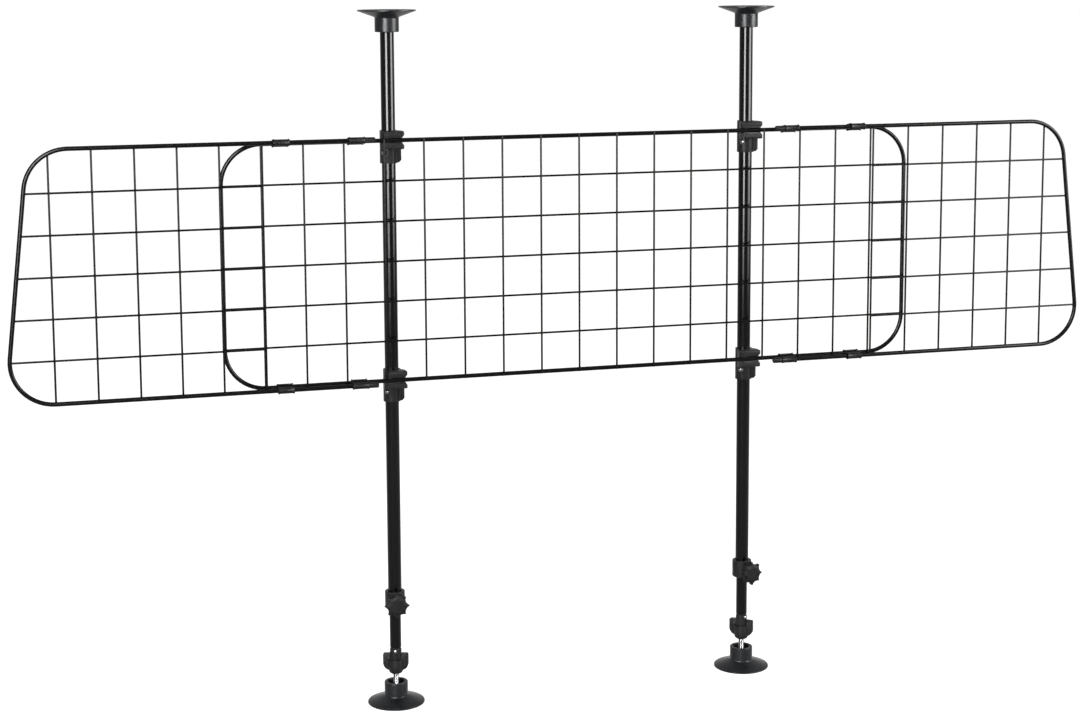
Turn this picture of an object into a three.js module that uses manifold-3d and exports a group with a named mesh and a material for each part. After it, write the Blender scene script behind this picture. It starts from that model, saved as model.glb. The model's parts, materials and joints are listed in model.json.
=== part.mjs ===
// A guard for the boot of a car: a wire mesh panel with two sliding side panels,
// clamped to two telescopic poles that are wedged between the floor and the roof.
// Millimetres, +Z up. The mesh faces -Y, the pole axes lie in the plane y = 0, and
// the origin is on the floor midway between the outer ends.

import * as THREE from "three";
import { mergeVertices } from "three/addons/utils/BufferGeometryUtils.js";
import Module from "manifold-3d";

const wasm = await Module();
wasm.setup();

// Clearances, the depths of welds and roots, and the overrun of cutting bodies
const fitGap = 0.3;
const turnGap = 0.4;
const weldSink = 0.45;
const crossSink = 0.2;
const cutOverrun = 1;
const seamGap = 0.5;
const rootSink = 1;

// Mesh panels
const cellPitch = 55.3;
const panelRows = 6;
const centreColumns = 18;
const sideUprights = 6;
const rodDiameter = 6;
const wireDiameter = 2.8;
const centreBendRadius = 55;
const sideBendRadius = 57;
const panelDrop = 342;
const sideRodGap = 6;
const sideRailRise = 2.2;
const sideMeshShift = 2.3;
const sideTopReach = 25.7;
const sideBottomReach = 64;
const weldBeadLength = 5;
const weldBeadRise = 0.35;

// Clips and caps on the rails
const innerClipColumns = 5.7;
const outerClipColumns = 7.55;
const clipLength = 22;
const clipWall = 1;
const capLength = 13.7;
const capWall = 0.6;
const capEndWall = 1.3;
const capChamfer = 1.1;

// Poles
const leftPoleColumns = -4.8;
const rightPoleColumns = 4.65;
const totalHeight = 975;
const innerTubeDiameter = 16;
const tubeWall = 1.2;
const innerTubeLength = 450;
const innerTubeShown = 57;

// Pole clamps
const sleeveWall = 2.2;
const sleeveLength = 20;
const sleeveChamfer = 1;
const clampWeb = 4.7;
const clampHalfHeight = 12.5;
const clampLeftReach = 14;
const clampRightReach = 18;
const clampNoseChamfer = 3.5;
const clampNoseRadius = 2.5;
const clampEdgeRadius = 3;
const clampShoulder = 5;
const clampRootDepth = 3;
const clampScoopDepth = 2;
const clampScoopRadius = 14;
const earReach = 4;
const earThickness = 8;
const earRise = 1;
const earChamfer = 3.2;
const splitWidth = 1.2;
const splitPlace = 6;
const screwBossDiameter = 8;
const screwBossReach = 2;
const clampScrewDiameter = 3;
const clampScrewDrop = 17.5;
const clampScrewHeadDiameter = 5.6;
const clampScrewHeadHeight = 1.8;
const clampScrewTurn = -40;

// Suction feet
const footDiameter = 80;
const footHeight = 30;
const footConeHeight = 10;
const footRimThickness = 1.6;
const footRimWidth = 3;
const footCupDepth = 5;
const footSkin = 3;
const footHubWall = 4.5;
const footHubChamfer = 0.8;
const footBoreFloor = 13;
const topCapWall = 1.9;
const topCapEndWall = 3;
const topCapLength = 16;

// Levelling screw under each pole
const screwDiameter = 8;
const screwLength = 118;
const screwShown = 12;
const screwChamfer = 0.8;
const hexNutAcrossFlats = 13;
const hexNutHeight = 6.5;
const ferruleLip = 0.2;
const ferruleLength = 24.7;
const ferruleNeckLength = 2;
const ferruleNeckStep = 0.8;
const ferruleShankLength = 20;
const ferruleChamfer = 0.8;
const rivetRise = 21.7;
const rivetDiameter = 2.6;
const rivetHeadDiameter = 4.2;
const rivetHeadHeight = 0.8;
const rivetLength = 3;

// Wing nut
const wingNutHeight = 29;
const wingNutThread = 11;
const wingNutCupWall = 1.9;
const wingNutCupHeight = 20;
const wingNutNose = 3.2;
const wingNutNoseInset = 1.07;
const wingSpan = 36;
const wingThickness = 5;
const wingCornerRadius = 2.5;
const wingSweepRadius = 11;
const wingUndercut = 4;

// Lock collar and star knob
const collarWall = 4.2;
const collarHeight = 25;
const collarLip = 4;
const collarChamfer = 1.5;
const knobRise = 10;
const knobBossDiameter = 14;
const knobBossReach = 3.5;
const knobStudDiameter = 6;
const knobStudSink = 8;
const knobHubDiameter = 15;
const knobHubLength = 2.5;
const knobDiameter = 36;
const knobHeadLength = 9;
const knobLobes = 8;
const knobScallopDepth = 3;
const knobBevel = 1.2;
const knobTipTrim = 0.4;

// Turns about the pole axes in degrees, from the front towards +X
const leftKnobTurn = -5;
const rightKnobTurn = 14;
const leftWingTurn = -16.5;
const rightWingTurn = -41.5;
const leftRivetTurn = -14;
const rightRivetTurn = 20;

// Facet counts
const rodSides = 8;
const wireSides = 6;
const bendSteps = 4;
const clipArcSteps = 2;
const capSides = 10;
const tubeSides = 16;
const collarSides = 16;
const sleeveSides = 12;
const footSides = 20;
const smallSides = 8;
const screwSides = 12;
const knobArcSteps = 2;
const wingArcSteps = 2;
const cornerSteps = 2;
const hexSides = 6;

// Sizes that follow from the ones above
const rodRadius = rodDiameter / 2;
const rodCorner = polygonCorner(rodRadius, rodSides);
const rodFlat = polygonFlat(rodRadius, rodSides);
const wireFlat = polygonFlat(wireDiameter / 2, wireSides);
const uprightStandoff = rodFlat + wireFlat - weldSink;
const levelStandoff = uprightStandoff - 2 * wireFlat + crossSink;
const centreHalfWidth = (centreColumns * cellPitch) / 2;
const centreHalfHeight = (panelRows * cellPitch) / 2;
const sideHalfHeight = centreHalfHeight + sideRailRise;
const sidePlane = rodDiameter + sideRodGap;
const panelHeight = totalHeight - panelDrop;
const innerClipPlace = innerClipColumns * cellPitch;
const outerClipPlace = outerClipColumns * cellPitch;
const capStart = innerClipPlace - clipLength / 2 - fitGap - capLength;
const sideRodStart = capStart + capEndWall + fitGap;
const firstUpright = centreHalfWidth - cellPitch + sideMeshShift;
const lastUpright = firstUpright + (sideUprights - 1) * cellPitch;
const sideTopCorner = lastUpright + sideTopReach;
const sideBottomCorner = lastUpright + sideBottomReach;

const innerTubeRadius = innerTubeDiameter / 2;
const innerTubeBore = innerTubeRadius - tubeWall;
const outerTubeBore = innerTubeRadius + fitGap;
const outerTubeRadius = outerTubeBore + tubeWall;
const poleFit = outerTubeRadius + fitGap;
const sleeveRadius = poleFit + sleeveWall;
const railStandoff = sleeveRadius + clampWeb + fitGap + rodRadius;
const jawReach = uprightStandoff - wireFlat - fitGap;

const footHubBore = poleFit + topCapWall + fitGap;
const footHubRadius = footHubBore + footHubWall;
const screwRadius = screwDiameter / 2;
const screwFit = screwRadius + fitGap;
const screwSeat = footCupDepth + footSkin;
const screwBottom = screwSeat + fitGap;
const wingNutBottom = footHeight + screwShown;
const ferruleBottom = wingNutBottom + wingNutThread + fitGap;
const ferruleRadius = innerTubeRadius + ferruleLip;
const innerTubeBottom = ferruleBottom + ferruleLength + ferruleNeckLength;
const collarBottom = innerTubeBottom + innerTubeShown;
const outerTubeBottom = collarBottom + collarLip + fitGap;
const topCapTop = totalHeight - footBoreFloor - fitGap;
const outerTubeTop = topCapTop - topCapEndWall - fitGap;
const knobHeight = collarBottom + knobRise;
const collarRadius = poleFit + collarWall;
const bossFace = collarRadius + knobBossReach;
const studStart = innerTubeRadius + fitGap;
const knobFace = bossFace + fitGap;
const studEnd = knobFace + knobHubLength + knobStudSink;

// Finishes
const blackSteel = { color: "#1b1b1c", roughness: 0.34, metalness: 0.35 };
const blackWire = { color: "#202021", roughness: 0.38, metalness: 0.3 };
const blackPlastic = { color: "#2e2e31", roughness: 0.55, metalness: 0 };
const rubber = { color: "#2b2c30", roughness: 0.6, metalness: 0 };
const zinc = { color: "#c9ccd0", roughness: 0.3, metalness: 0.9 };

// The corner radius of a regular polygon with the area of a circle
function polygonCorner(radius, sides) {
  const area = (sides * Math.sin((2 * Math.PI) / sides)) / 2;
  return radius * Math.sqrt(Math.PI / area);
}

function polygonFlat(radius, sides) {
  return polygonCorner(radius, sides) * Math.cos(Math.PI / sides);
}

function radians(degrees) {
  return (degrees * Math.PI) / 180;
}

// A closed solid from a geometry, with shared corners and its faces pointing out
function solid(geometry) {
  const bare = geometry.clone();
  bare.deleteAttribute("normal");
  bare.deleteAttribute("uv");
  const merged = mergeVertices(bare);
  const places = merged.attributes.position;
  const triangles = [];
  const [a, b, c] = [new THREE.Vector3(), new THREE.Vector3(), new THREE.Vector3()];
  let volume = 0;
  for (let i = 0; i < merged.index.count; i += 3) {
    const corners = [0, 1, 2].map((k) => merged.index.getX(i + k));
    if (new Set(corners).size < corners.length) continue;
    triangles.push(corners);
    [a, b, c].forEach((corner, k) => corner.fromBufferAttribute(places, corners[k]));
    volume += a.dot(b.cross(c));
  }
  const outward = volume > 0 ? triangles : triangles.map((corners) => corners.reverse());
  return new wasm.Manifold(
    new wasm.Mesh({
      numProp: 3,
      vertProperties: Float32Array.from(places.array),
      triVerts: Uint32Array.from(outward.flat()),
    })
  );
}

function joined(solids) {
  return solids.reduce((whole, next) => whole.add(next));
}

function cutBy(body, cutters) {
  return cutters.reduce((rest, cutter) => rest.subtract(cutter), body);
}

function geometryOf(body) {
  const mesh = body.getMesh();
  const geometry = new THREE.BufferGeometry();
  geometry.setAttribute("position", new THREE.BufferAttribute(mesh.vertProperties, 3));
  geometry.setIndex(new THREE.BufferAttribute(mesh.triVerts, 1));
  geometry.computeVertexNormals();
  return geometry;
}

function piece(name, body, finish) {
  const mesh = new THREE.Mesh(geometryOf(body), new THREE.MeshStandardMaterial(finish));
  mesh.name = name;
  return mesh;
}

// A profile of [radius, height] pairs turned about Z
function revolved(profile, sides) {
  const points = profile.map(([radius, height]) => new THREE.Vector2(radius, height));
  return solid(new THREE.LatheGeometry(points, sides).rotateX(Math.PI / 2));
}

// A ring about Z: its profile closes on itself
function ring(bore, radius, bottom, top, sides) {
  const profile = [[bore, bottom], [radius, bottom], [radius, top], [bore, top]];
  return revolved([...profile, profile[0]], sides);
}

function upright(radius, bottom, top, sides) {
  const geometry = new THREE.CylinderGeometry(radius, radius, top - bottom, sides);
  geometry.rotateX(Math.PI / 2);
  return solid(geometry.translate(0, 0, (bottom + top) / 2));
}

// A cylinder that leaves the Z axis towards -Y at the given height
function spoke(radius, start, end, height, sides) {
  const geometry = new THREE.CylinderGeometry(radius, radius, end - start, sides);
  return solid(geometry.translate(0, -(start + end) / 2, height));
}

function block(left, right, front, back, bottom, top) {
  const geometry = new THREE.BoxGeometry(right - left, back - front, top - bottom);
  return solid(geometry.translate((left + right) / 2, (front + back) / 2, (bottom + top) / 2));
}

function outline(points) {
  return new THREE.Shape(points.map(([x, y]) => new THREE.Vector2(x, y)));
}

function polygonShape(radius, sides) {
  const corner = polygonCorner(radius, sides);
  const angles = Array.from({ length: sides }, (_, i) => ((i + 0.5) * 2 * Math.PI) / sides);
  return outline(angles.map((angle) => [corner * Math.cos(angle), corner * Math.sin(angle)]));
}

// A route of stations, each with its own place and direction
class StationPath extends THREE.Curve {
  constructor(stations) {
    super();
    this.stations = stations;
  }

  stationAt(share) {
    return this.stations[Math.round(share * (this.stations.length - 1))];
  }

  getPointAt(share, target = new THREE.Vector3()) {
    return target.copy(this.stationAt(share).point);
  }

  getTangentAt(share, target = new THREE.Vector3()) {
    return target.copy(this.stationAt(share).tangent);
  }
}

// Straight runs between corners, with every inner corner bent to a radius
function bentRoute(corners, bendRadius) {
  const direction = (from, to) => to.clone().sub(from).normalize();
  const last = corners.length - 1;
  const stations = [{ point: corners[0], tangent: direction(corners[0], corners[1]) }];
  for (let i = 1; i < last; i += 1) {
    const into = direction(corners[i - 1], corners[i]);
    const turn = into.angleTo(direction(corners[i], corners[i + 1]));
    const axis = into.clone().cross(direction(corners[i], corners[i + 1])).normalize();
    const setback = bendRadius * Math.tan(turn / 2);
    const start = corners[i].clone().addScaledVector(into, -setback);
    const spokeIn = into.clone().cross(axis).multiplyScalar(bendRadius);
    const centre = start.clone().sub(spokeIn);
    for (let step = 0; step <= bendSteps; step += 1) {
      const angle = (turn * step) / bendSteps;
      const point = centre.clone().add(spokeIn.clone().applyAxisAngle(axis, angle));
      stations.push({ point, tangent: into.clone().applyAxisAngle(axis, angle) });
    }
  }
  stations.push({ point: corners[last], tangent: direction(corners[last - 1], corners[last]) });
  return new StationPath(stations);
}

function bentRod(corners, bendRadius) {
  const path = bentRoute(corners.map(([x, z]) => new THREE.Vector3(x, 0, z)), bendRadius);
  const steps = path.stations.length - 1;
  const section = polygonShape(rodRadius, rodSides);
  return solid(new THREE.ExtrudeGeometry(section, { extrudePath: path, steps }));
}

// Mesh wires have a flat at the front and the back, where they are welded
function uprightWire(x, y, bottom, top) {
  const corner = polygonCorner(wireDiameter / 2, wireSides);
  const geometry = new THREE.CylinderGeometry(corner, corner, top - bottom, wireSides);
  geometry.rotateY(Math.PI / wireSides).rotateX(Math.PI / 2);
  return solid(geometry.translate(x, y, (bottom + top) / 2));
}

function levelWire(start, end, y, z) {
  const corner = polygonCorner(wireDiameter / 2, wireSides);
  const length = Math.abs(end - start);
  const geometry = new THREE.CylinderGeometry(corner, corner, length, wireSides);
  return solid(geometry.rotateZ(Math.PI / 2).translate((start + end) / 2, y, z));
}

function levelHeights() {
  const middle = (panelRows - 2) / 2;
  return Array.from({ length: panelRows - 1 }, (_, row) => (row - middle) * cellPitch);
}

// One rod bent into a loop and butt welded in the middle of the bottom rail, with
// the uprights welded on its front and the level wires behind them
function centrePanelBody() {
  const corners = [
    [seamGap / 2, -centreHalfHeight],
    [centreHalfWidth, -centreHalfHeight],
    [centreHalfWidth, centreHalfHeight],
    [-centreHalfWidth, centreHalfHeight],
    [-centreHalfWidth, -centreHalfHeight],
    [-seamGap / 2, -centreHalfHeight],
  ];
  const beadRadius = polygonCorner(rodRadius + weldBeadRise, rodSides);
  const bead = new THREE.CylinderGeometry(beadRadius, beadRadius, weldBeadLength, rodSides);
  bead.rotateY(Math.PI / rodSides).rotateZ(Math.PI / 2).translate(0, 0, -centreHalfHeight);
  const uprights = [];
  for (let column = 1; column < centreColumns; column += 1) {
    const x = column * cellPitch - centreHalfWidth;
    uprights.push(uprightWire(x, -uprightStandoff, -centreHalfHeight, centreHalfHeight));
  }
  const levels = levelHeights().map((z) =>
    levelWire(-centreHalfWidth, centreHalfWidth, -levelStandoff, z)
  );
  return joined([bentRod(corners, centreBendRadius), solid(bead), ...uprights, ...levels]);
}

// Where an outer bend has turned away from the straight rail, at a given upright
function bendDrop(x, corner, otherCorner) {
  const lean = Math.atan2(otherCorner - corner, 2 * sideHalfHeight);
  const turn = Math.PI / 2 - lean;
  const bendStart = corner - sideBendRadius * Math.tan(turn / 2);
  const into = Math.max(0, x - bendStart);
  return sideBendRadius - Math.sqrt(sideBendRadius ** 2 - into ** 2);
}

// A rod bent into a sideways U with a slanting outer end. The uprights are welded
// on its back and the level wires in front of them. The hand is 1 on the right.
function sidePanelBody(hand) {
  const corners = [
    [hand * sideRodStart, sideHalfHeight],
    [hand * sideTopCorner, sideHalfHeight],
    [hand * sideBottomCorner, -sideHalfHeight],
    [hand * sideRodStart, -sideHalfHeight],
  ];
  const uprights = [];
  for (let i = 0; i < sideUprights; i += 1) {
    const x = firstUpright + i * cellPitch;
    const top = sideHalfHeight - bendDrop(x, sideTopCorner, sideBottomCorner);
    const bottom = bendDrop(x, sideBottomCorner, sideTopCorner) - sideHalfHeight;
    uprights.push(uprightWire(hand * x, uprightStandoff, bottom, top));
  }
  const levels = levelHeights().map((z) => {
    const share = (sideHalfHeight - z) / (2 * sideHalfHeight);
    const end = THREE.MathUtils.lerp(sideTopCorner, sideBottomCorner, share);
    const start = firstUpright - wireDiameter / 2;
    return levelWire(hand * start, hand * end, levelStandoff, z);
  });
  return joined([bentRod(corners, sideBendRadius), ...uprights, ...levels]);
}

// The outline round both rods, in front-back and height, at a distance from their axes
function clipOutline(radius) {
  const lean = Math.atan2(sideRailRise, sidePlane);
  const shape = new THREE.Shape();
  shape.absarc(0, 0, radius, -Math.PI / 2 - lean, Math.PI / 2 - lean, false);
  shape.absarc(-sidePlane, sideRailRise, radius, Math.PI / 2 - lean, -Math.PI / 2 - lean, false);
  return shape;
}

function alongRail(shape, start, end) {
  const options = { depth: end - start, bevelEnabled: false, curveSegments: clipArcSteps };
  const geometry = new THREE.ExtrudeGeometry(shape, options);
  geometry.rotateY(Math.PI / 2).rotateX(Math.PI / 2);
  return solid(geometry.translate(start, 0, 0));
}

// A moulded clip that hooks over the centre rail and the side rail in front of it
// and stays open towards the mesh, so that the side uprights can pass
function railClipBody() {
  const half = clipLength / 2;
  const inside = rodCorner + fitGap;
  const outside = inside + clipWall;
  const slotFront = uprightStandoff - sidePlane - wireFlat - fitGap;
  const slotBack = wireFlat - uprightStandoff + fitGap;
  const floor = -(outside + cutOverrun);
  return cutBy(alongRail(clipOutline(outside), -half, half), [
    alongRail(clipOutline(inside), -half - cutOverrun, half + cutOverrun),
    block(-half - cutOverrun, half + cutOverrun, slotFront, slotBack, floor, sideRailRise),
  ]);
}

// A push-on cap over the inner end of a side rail, closed at its -Z end
function endCapBody() {
  const bore = rodCorner + fitGap;
  const radius = bore + capWall;
  const profile = [
    [0, 0],
    [radius - capChamfer, 0],
    [radius, capChamfer],
    [radius, capLength],
    [bore, capLength],
    [bore, capEndWall],
    [0, capEndWall],
  ];
  return revolved(profile, capSides);
}

function tubeBody(bore, radius, bottom, top) {
  return ring(bore, radius, bottom, top, tubeSides);
}

// The jaws of a clamp: the side profile run along the rail, trimmed by the plan
function clampJaws() {
  const tip = -(railStandoff + jawReach);
  const edge = clampEdgeRadius;
  const profile = new THREE.Shape();
  profile.moveTo(-clampRootDepth, -clampHalfHeight);
  profile.lineTo(-clampRootDepth, clampHalfHeight);
  profile.lineTo(tip + edge, clampHalfHeight);
  profile.absarc(tip + edge, clampHalfHeight - edge, edge, Math.PI / 2, Math.PI, false);
  profile.absarc(tip + edge, edge - clampHalfHeight, edge, Math.PI, 1.5 * Math.PI, false);
  const root = sleeveRadius - rootSink;
  const waist = clampShoulder - railStandoff;
  const nose = clampNoseRadius;
  const plan = new THREE.Shape();
  plan.moveTo(-root, -clampRootDepth);
  plan.lineTo(-clampLeftReach, waist);
  plan.lineTo(-clampLeftReach, tip + clampNoseChamfer);
  plan.lineTo(clampNoseChamfer - clampLeftReach, tip);
  plan.lineTo(clampRightReach - nose, tip);
  plan.absarc(clampRightReach - nose, tip + nose, nose, -Math.PI / 2, 0, false);
  plan.lineTo(clampRightReach, waist);
  plan.lineTo(root, -clampRootDepth);
  const lengthways = { depth: clampLeftReach + clampRightReach, bevelEnabled: false };
  const bar = new THREE.ExtrudeGeometry(profile, { ...lengthways, curveSegments: cornerSteps });
  bar.rotateY(Math.PI / 2).rotateX(Math.PI / 2).translate(-clampLeftReach, 0, 0);
  const upwards = { depth: 2 * clampHalfHeight, bevelEnabled: false };
  const slab = new THREE.ExtrudeGeometry(plan, { ...upwards, curveSegments: cornerSteps });
  return solid(bar).intersect(solid(slab.translate(0, 0, -clampHalfHeight)));
}

// The split ear beside the sleeve, with its lower corner cut off
function clampEar() {
  const reach = sleeveRadius + earReach;
  const bottom = earRise - clampHalfHeight - sleeveLength;
  const top = rootSink - clampHalfHeight;
  const shape = outline([
    [splitPlace, bottom],
    [reach - earChamfer, bottom],
    [reach, bottom + earChamfer],
    [reach, top],
    [splitPlace, top],
  ]);
  const geometry = new THREE.ExtrudeGeometry(shape, { depth: earThickness, bevelEnabled: false });
  return solid(geometry.rotateX(Math.PI / 2));
}

function turnedAboutPole(body, degrees) {
  return solid(geometryOf(body).rotateZ(radians(degrees)));
}

// A clamp about a pole at the origin, with the rail that it holds at height 0
function poleClampBody() {
  const bottom = -clampHalfHeight - sleeveLength;
  const chamfer = sleeveRadius - sleeveChamfer;
  const sleeve = revolved(
    [
      [0, bottom],
      [chamfer, bottom],
      [sleeveRadius, bottom + sleeveChamfer],
      [sleeveRadius, clampHalfHeight],
      [0, clampHalfHeight],
    ],
    sleeveSides
  );
  const bossEnd = sleeveRadius + screwBossReach;
  const boss = spoke(screwBossDiameter / 2, screwRadius, bossEnd, -clampScrewDrop, smallSides);
  const screwHole = clampScrewDiameter / 2 + fitGap;
  const hole = spoke(screwHole, screwRadius, bossEnd + cutOverrun, -clampScrewDrop, smallSides);
  const seat = new THREE.ExtrudeGeometry(polygonShape(rodFlatFit(), rodSides), {
    depth: clampLeftReach + clampRightReach + 2 * cutOverrun,
    bevelEnabled: false,
  });
  seat.rotateY(Math.PI / 2).translate(-clampLeftReach - cutOverrun, -railStandoff, 0);
  const scoopPlace = clampRightReach + clampScoopRadius - clampScoopDepth;
  const scoop = spoke(clampScoopRadius, clampRootDepth, railStandoff + sleeveRadius, 0, tubeSides);
  const scoopSolid = solid(geometryOf(scoop).translate(scoopPlace, 0, 0));
  const whole = joined([sleeve, clampJaws(), clampEar(), turnedAboutPole(boss, clampScrewTurn)]);
  return cutBy(whole, [
    upright(poleFit, bottom - cutOverrun, clampHalfHeight + cutOverrun, tubeSides),
    solid(seat),
    scoopSolid,
    block(
      splitPlace,
      splitPlace + splitWidth,
      -sleeveRadius - cutOverrun,
      splitPlace - poleFit,
      bottom - cutOverrun,
      -clampHalfHeight
    ),
    turnedAboutPole(hole, clampScrewTurn),
  ]);
}

// The radius of a seat that clears every flat of a frame rod by the fit gap
function rodFlatFit() {
  return rodRadius * (1 + fitGap / rodFlat);
}

// A screw with a shank from start to end and a rounded head, along +Z
function headedPin(shankRadius, start, end, headRadius, headHeight) {
  const headStart = end + fitGap;
  const profile = [
    [0, start],
    [shankRadius, start],
    [shankRadius, headStart],
    [headRadius, headStart],
    [headRadius, headStart + headHeight / 2],
    [headRadius / 2, headStart + headHeight],
    [0, headStart + headHeight],
  ];
  return revolved(profile, smallSides);
}

function clampScrewBody() {
  const start = poleFit + fitGap;
  const end = sleeveRadius + screwBossReach;
  const headRadius = clampScrewHeadDiameter / 2;
  return headedPin(clampScrewDiameter / 2, start, end, headRadius, clampScrewHeadHeight);
}

// A suction foot with its cup downwards on height 0: a shallow cone, a hollow
// underside with a flat rim, and an open hub with a blind hole for the screw
function footBody() {
  const radius = footDiameter / 2;
  const rimInner = radius - footRimWidth;
  const cupShares = [0.8, 0.45];
  const cup = cupShares.map((share) => [rimInner * share, footCupDepth * (1 - share ** 3)]);
  const profile = [
    [0, footCupDepth],
    ...cup.reverse(),
    [rimInner, 0],
    [radius, 0],
    [radius, footRimThickness],
    [footHubRadius, footConeHeight],
    [footHubRadius, footHeight - footHubChamfer],
    [footHubRadius - footHubChamfer, footHeight],
    [footHubBore, footHeight],
    [footHubBore, footBoreFloor],
    [screwFit, footBoreFloor],
    [screwFit, screwSeat],
    [0, screwSeat],
  ];
  return revolved(profile, footSides);
}

// A cap over the top end of the outer tube, with the stud that the foot sits on
function topCapBody() {
  const bottom = topCapTop - topCapLength;
  const studTop = totalHeight - screwSeat - fitGap;
  const profile = [
    [poleFit, bottom],
    [poleFit + topCapWall, bottom],
    [poleFit + topCapWall, topCapTop],
    [screwRadius, topCapTop],
    [screwRadius, studTop],
    [0, studTop],
    [0, topCapTop - topCapEndWall],
    [poleFit, topCapTop - topCapEndWall],
  ];
  return revolved([...profile, profile[0]], collarSides);
}

function levellingScrewBody() {
  const top = screwBottom + screwLength;
  const profile = [
    [0, screwBottom],
    [screwRadius - screwChamfer, screwBottom],
    [screwRadius, screwBottom + screwChamfer],
    [screwRadius, top - screwChamfer],
    [screwRadius - screwChamfer, top],
    [0, top],
  ];
  return revolved(profile, screwSides);
}

function hexNutBody() {
  const corner = hexNutAcrossFlats / 2 / Math.cos(Math.PI / hexSides);
  const bottom = footBoreFloor + fitGap;
  const top = bottom + hexNutHeight;
  const hole = upright(screwFit, bottom - cutOverrun, top + cutOverrun, screwSides);
  return cutBy(upright(corner, bottom, top, hexSides), [hole]);
}

// A plug in the lower end of the inner tube: a collar that bears on the wing nut,
// a neck under the tube and a shank inside it, bored for the levelling screw
function ferruleBody() {
  const collarTop = ferruleBottom + ferruleLength;
  const neckTop = innerTubeBottom - fitGap;
  const shankTop = innerTubeBottom + ferruleShankLength;
  const neck = ferruleRadius - ferruleNeckStep;
  const shank = innerTubeBore - fitGap;
  const profile = [
    [screwFit, ferruleBottom],
    [ferruleRadius, ferruleBottom],
    [ferruleRadius, collarTop - ferruleChamfer],
    [neck, collarTop],
    [neck, neckTop],
    [shank, neckTop],
    [shank, shankTop],
    [screwFit, shankTop],
  ];
  const body = revolved([...profile, profile[0]], collarSides);
  const height = ferruleBottom + rivetRise;
  const holeRadius = rivetDiameter / 2 + fitGap;
  return cutBy(body, [
    spoke(holeRadius, screwRadius, ferruleRadius + cutOverrun, height, smallSides),
  ]);
}

function rivetBody() {
  const start = ferruleRadius - rivetLength;
  const headRadius = rivetHeadDiameter / 2;
  return headedPin(rivetDiameter / 2, start, ferruleRadius, headRadius, rivetHeadHeight);
}

// A wing nut with its underside on height 0: a rounded nose, an open cup round the
// ferrule, and two wings that sweep up to flat tops
function wingNutBody() {
  const cupBore = ferruleRadius + turnGap;
  const cupRadius = cupBore + wingNutCupWall;
  const hub = revolved(
    [
      [0, 0],
      [cupRadius - wingNutNose, 0],
      [cupRadius - wingNutNoseInset, wingNutNose / 2],
      [cupRadius, 2 * wingNutNose],
      [cupRadius, wingNutCupHeight],
      [0, wingNutCupHeight],
    ],
    collarSides
  );
  const half = wingSpan / 2;
  const corner = wingCornerRadius;
  const sweep = wingSweepRadius;
  const sweepHeight = wingUndercut + sweep;
  const shape = new THREE.Shape();
  shape.moveTo(half - sweep, wingUndercut);
  shape.absarc(half - sweep, sweepHeight, sweep, -Math.PI / 2, 0, false);
  shape.absarc(half - corner, wingNutHeight - corner, corner, 0, Math.PI / 2, false);
  shape.absarc(corner - half, wingNutHeight - corner, corner, Math.PI / 2, Math.PI, false);
  shape.absarc(sweep - half, sweepHeight, sweep, Math.PI, 1.5 * Math.PI, false);
  const wings = new THREE.ExtrudeGeometry(shape, {
    depth: wingThickness,
    bevelEnabled: false,
    curveSegments: wingArcSteps,
  });
  wings.rotateX(Math.PI / 2).translate(0, wingThickness / 2, 0);
  const roof = wingNutHeight + cutOverrun;
  return cutBy(hub.add(solid(wings)), [
    upright(cupBore, wingNutThread, roof, collarSides),
    upright(screwFit, -cutOverrun, roof, screwSides),
  ]);
}

// The collar that the outer tube stands in, with the threaded boss of the knob
function collarBody() {
  const top = collarBottom + collarHeight;
  const sleeve = revolved(
    [
      [0, collarBottom],
      [collarRadius - collarChamfer, collarBottom],
      [collarRadius, collarBottom + collarChamfer],
      [collarRadius, top],
      [0, top],
    ],
    collarSides
  );
  const boss = spoke(knobBossDiameter / 2, innerTubeRadius, bossFace, knobHeight, collarSides);
  const studHole = knobStudDiameter / 2 + fitGap;
  return cutBy(sleeve.add(boss), [
    upright(outerTubeBore, collarBottom - cutOverrun, top, collarSides),
    upright(poleFit, collarBottom + collarLip, top + cutOverrun, collarSides),
    spoke(studHole, innerTubeRadius, bossFace + cutOverrun, knobHeight, smallSides),
  ]);
}

function outerTubeBody() {
  const tube = tubeBody(outerTubeBore, outerTubeRadius, outerTubeBottom, outerTubeTop);
  const hole = knobStudDiameter / 2 + turnGap;
  return cutBy(tube, [spoke(hole, innerTubeBore, collarRadius, knobHeight, smallSides)]);
}

function knobStudBody() {
  return upright(knobStudDiameter / 2, studStart, studEnd, smallSides);
}

// The outline of the knob: concave scallops that meet in pointed lobes
function starOutline() {
  const radius = knobDiameter / 2;
  const lobeAngle = (2 * Math.PI) / knobLobes;
  const halfChord = radius * Math.sin(lobeAngle / 2);
  const scallop = (halfChord ** 2 + knobScallopDepth ** 2) / (2 * knobScallopDepth);
  const centre = radius * Math.cos(lobeAngle / 2) - knobScallopDepth + scallop;
  const sweep = Math.asin(halfChord / scallop);
  const points = [];
  for (let lobe = 0; lobe < knobLobes; lobe += 1) {
    const middle = lobe * lobeAngle;
    for (let step = 0; step < knobArcSteps; step += 1) {
      const angle = middle + Math.PI + sweep * (1 - (2 * step) / knobArcSteps);
      const x = centre * Math.cos(middle) + scallop * Math.cos(angle);
      const y = centre * Math.sin(middle) + scallop * Math.sin(angle);
      points.push([x, y]);
    }
  }
  return outline(points);
}

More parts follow.
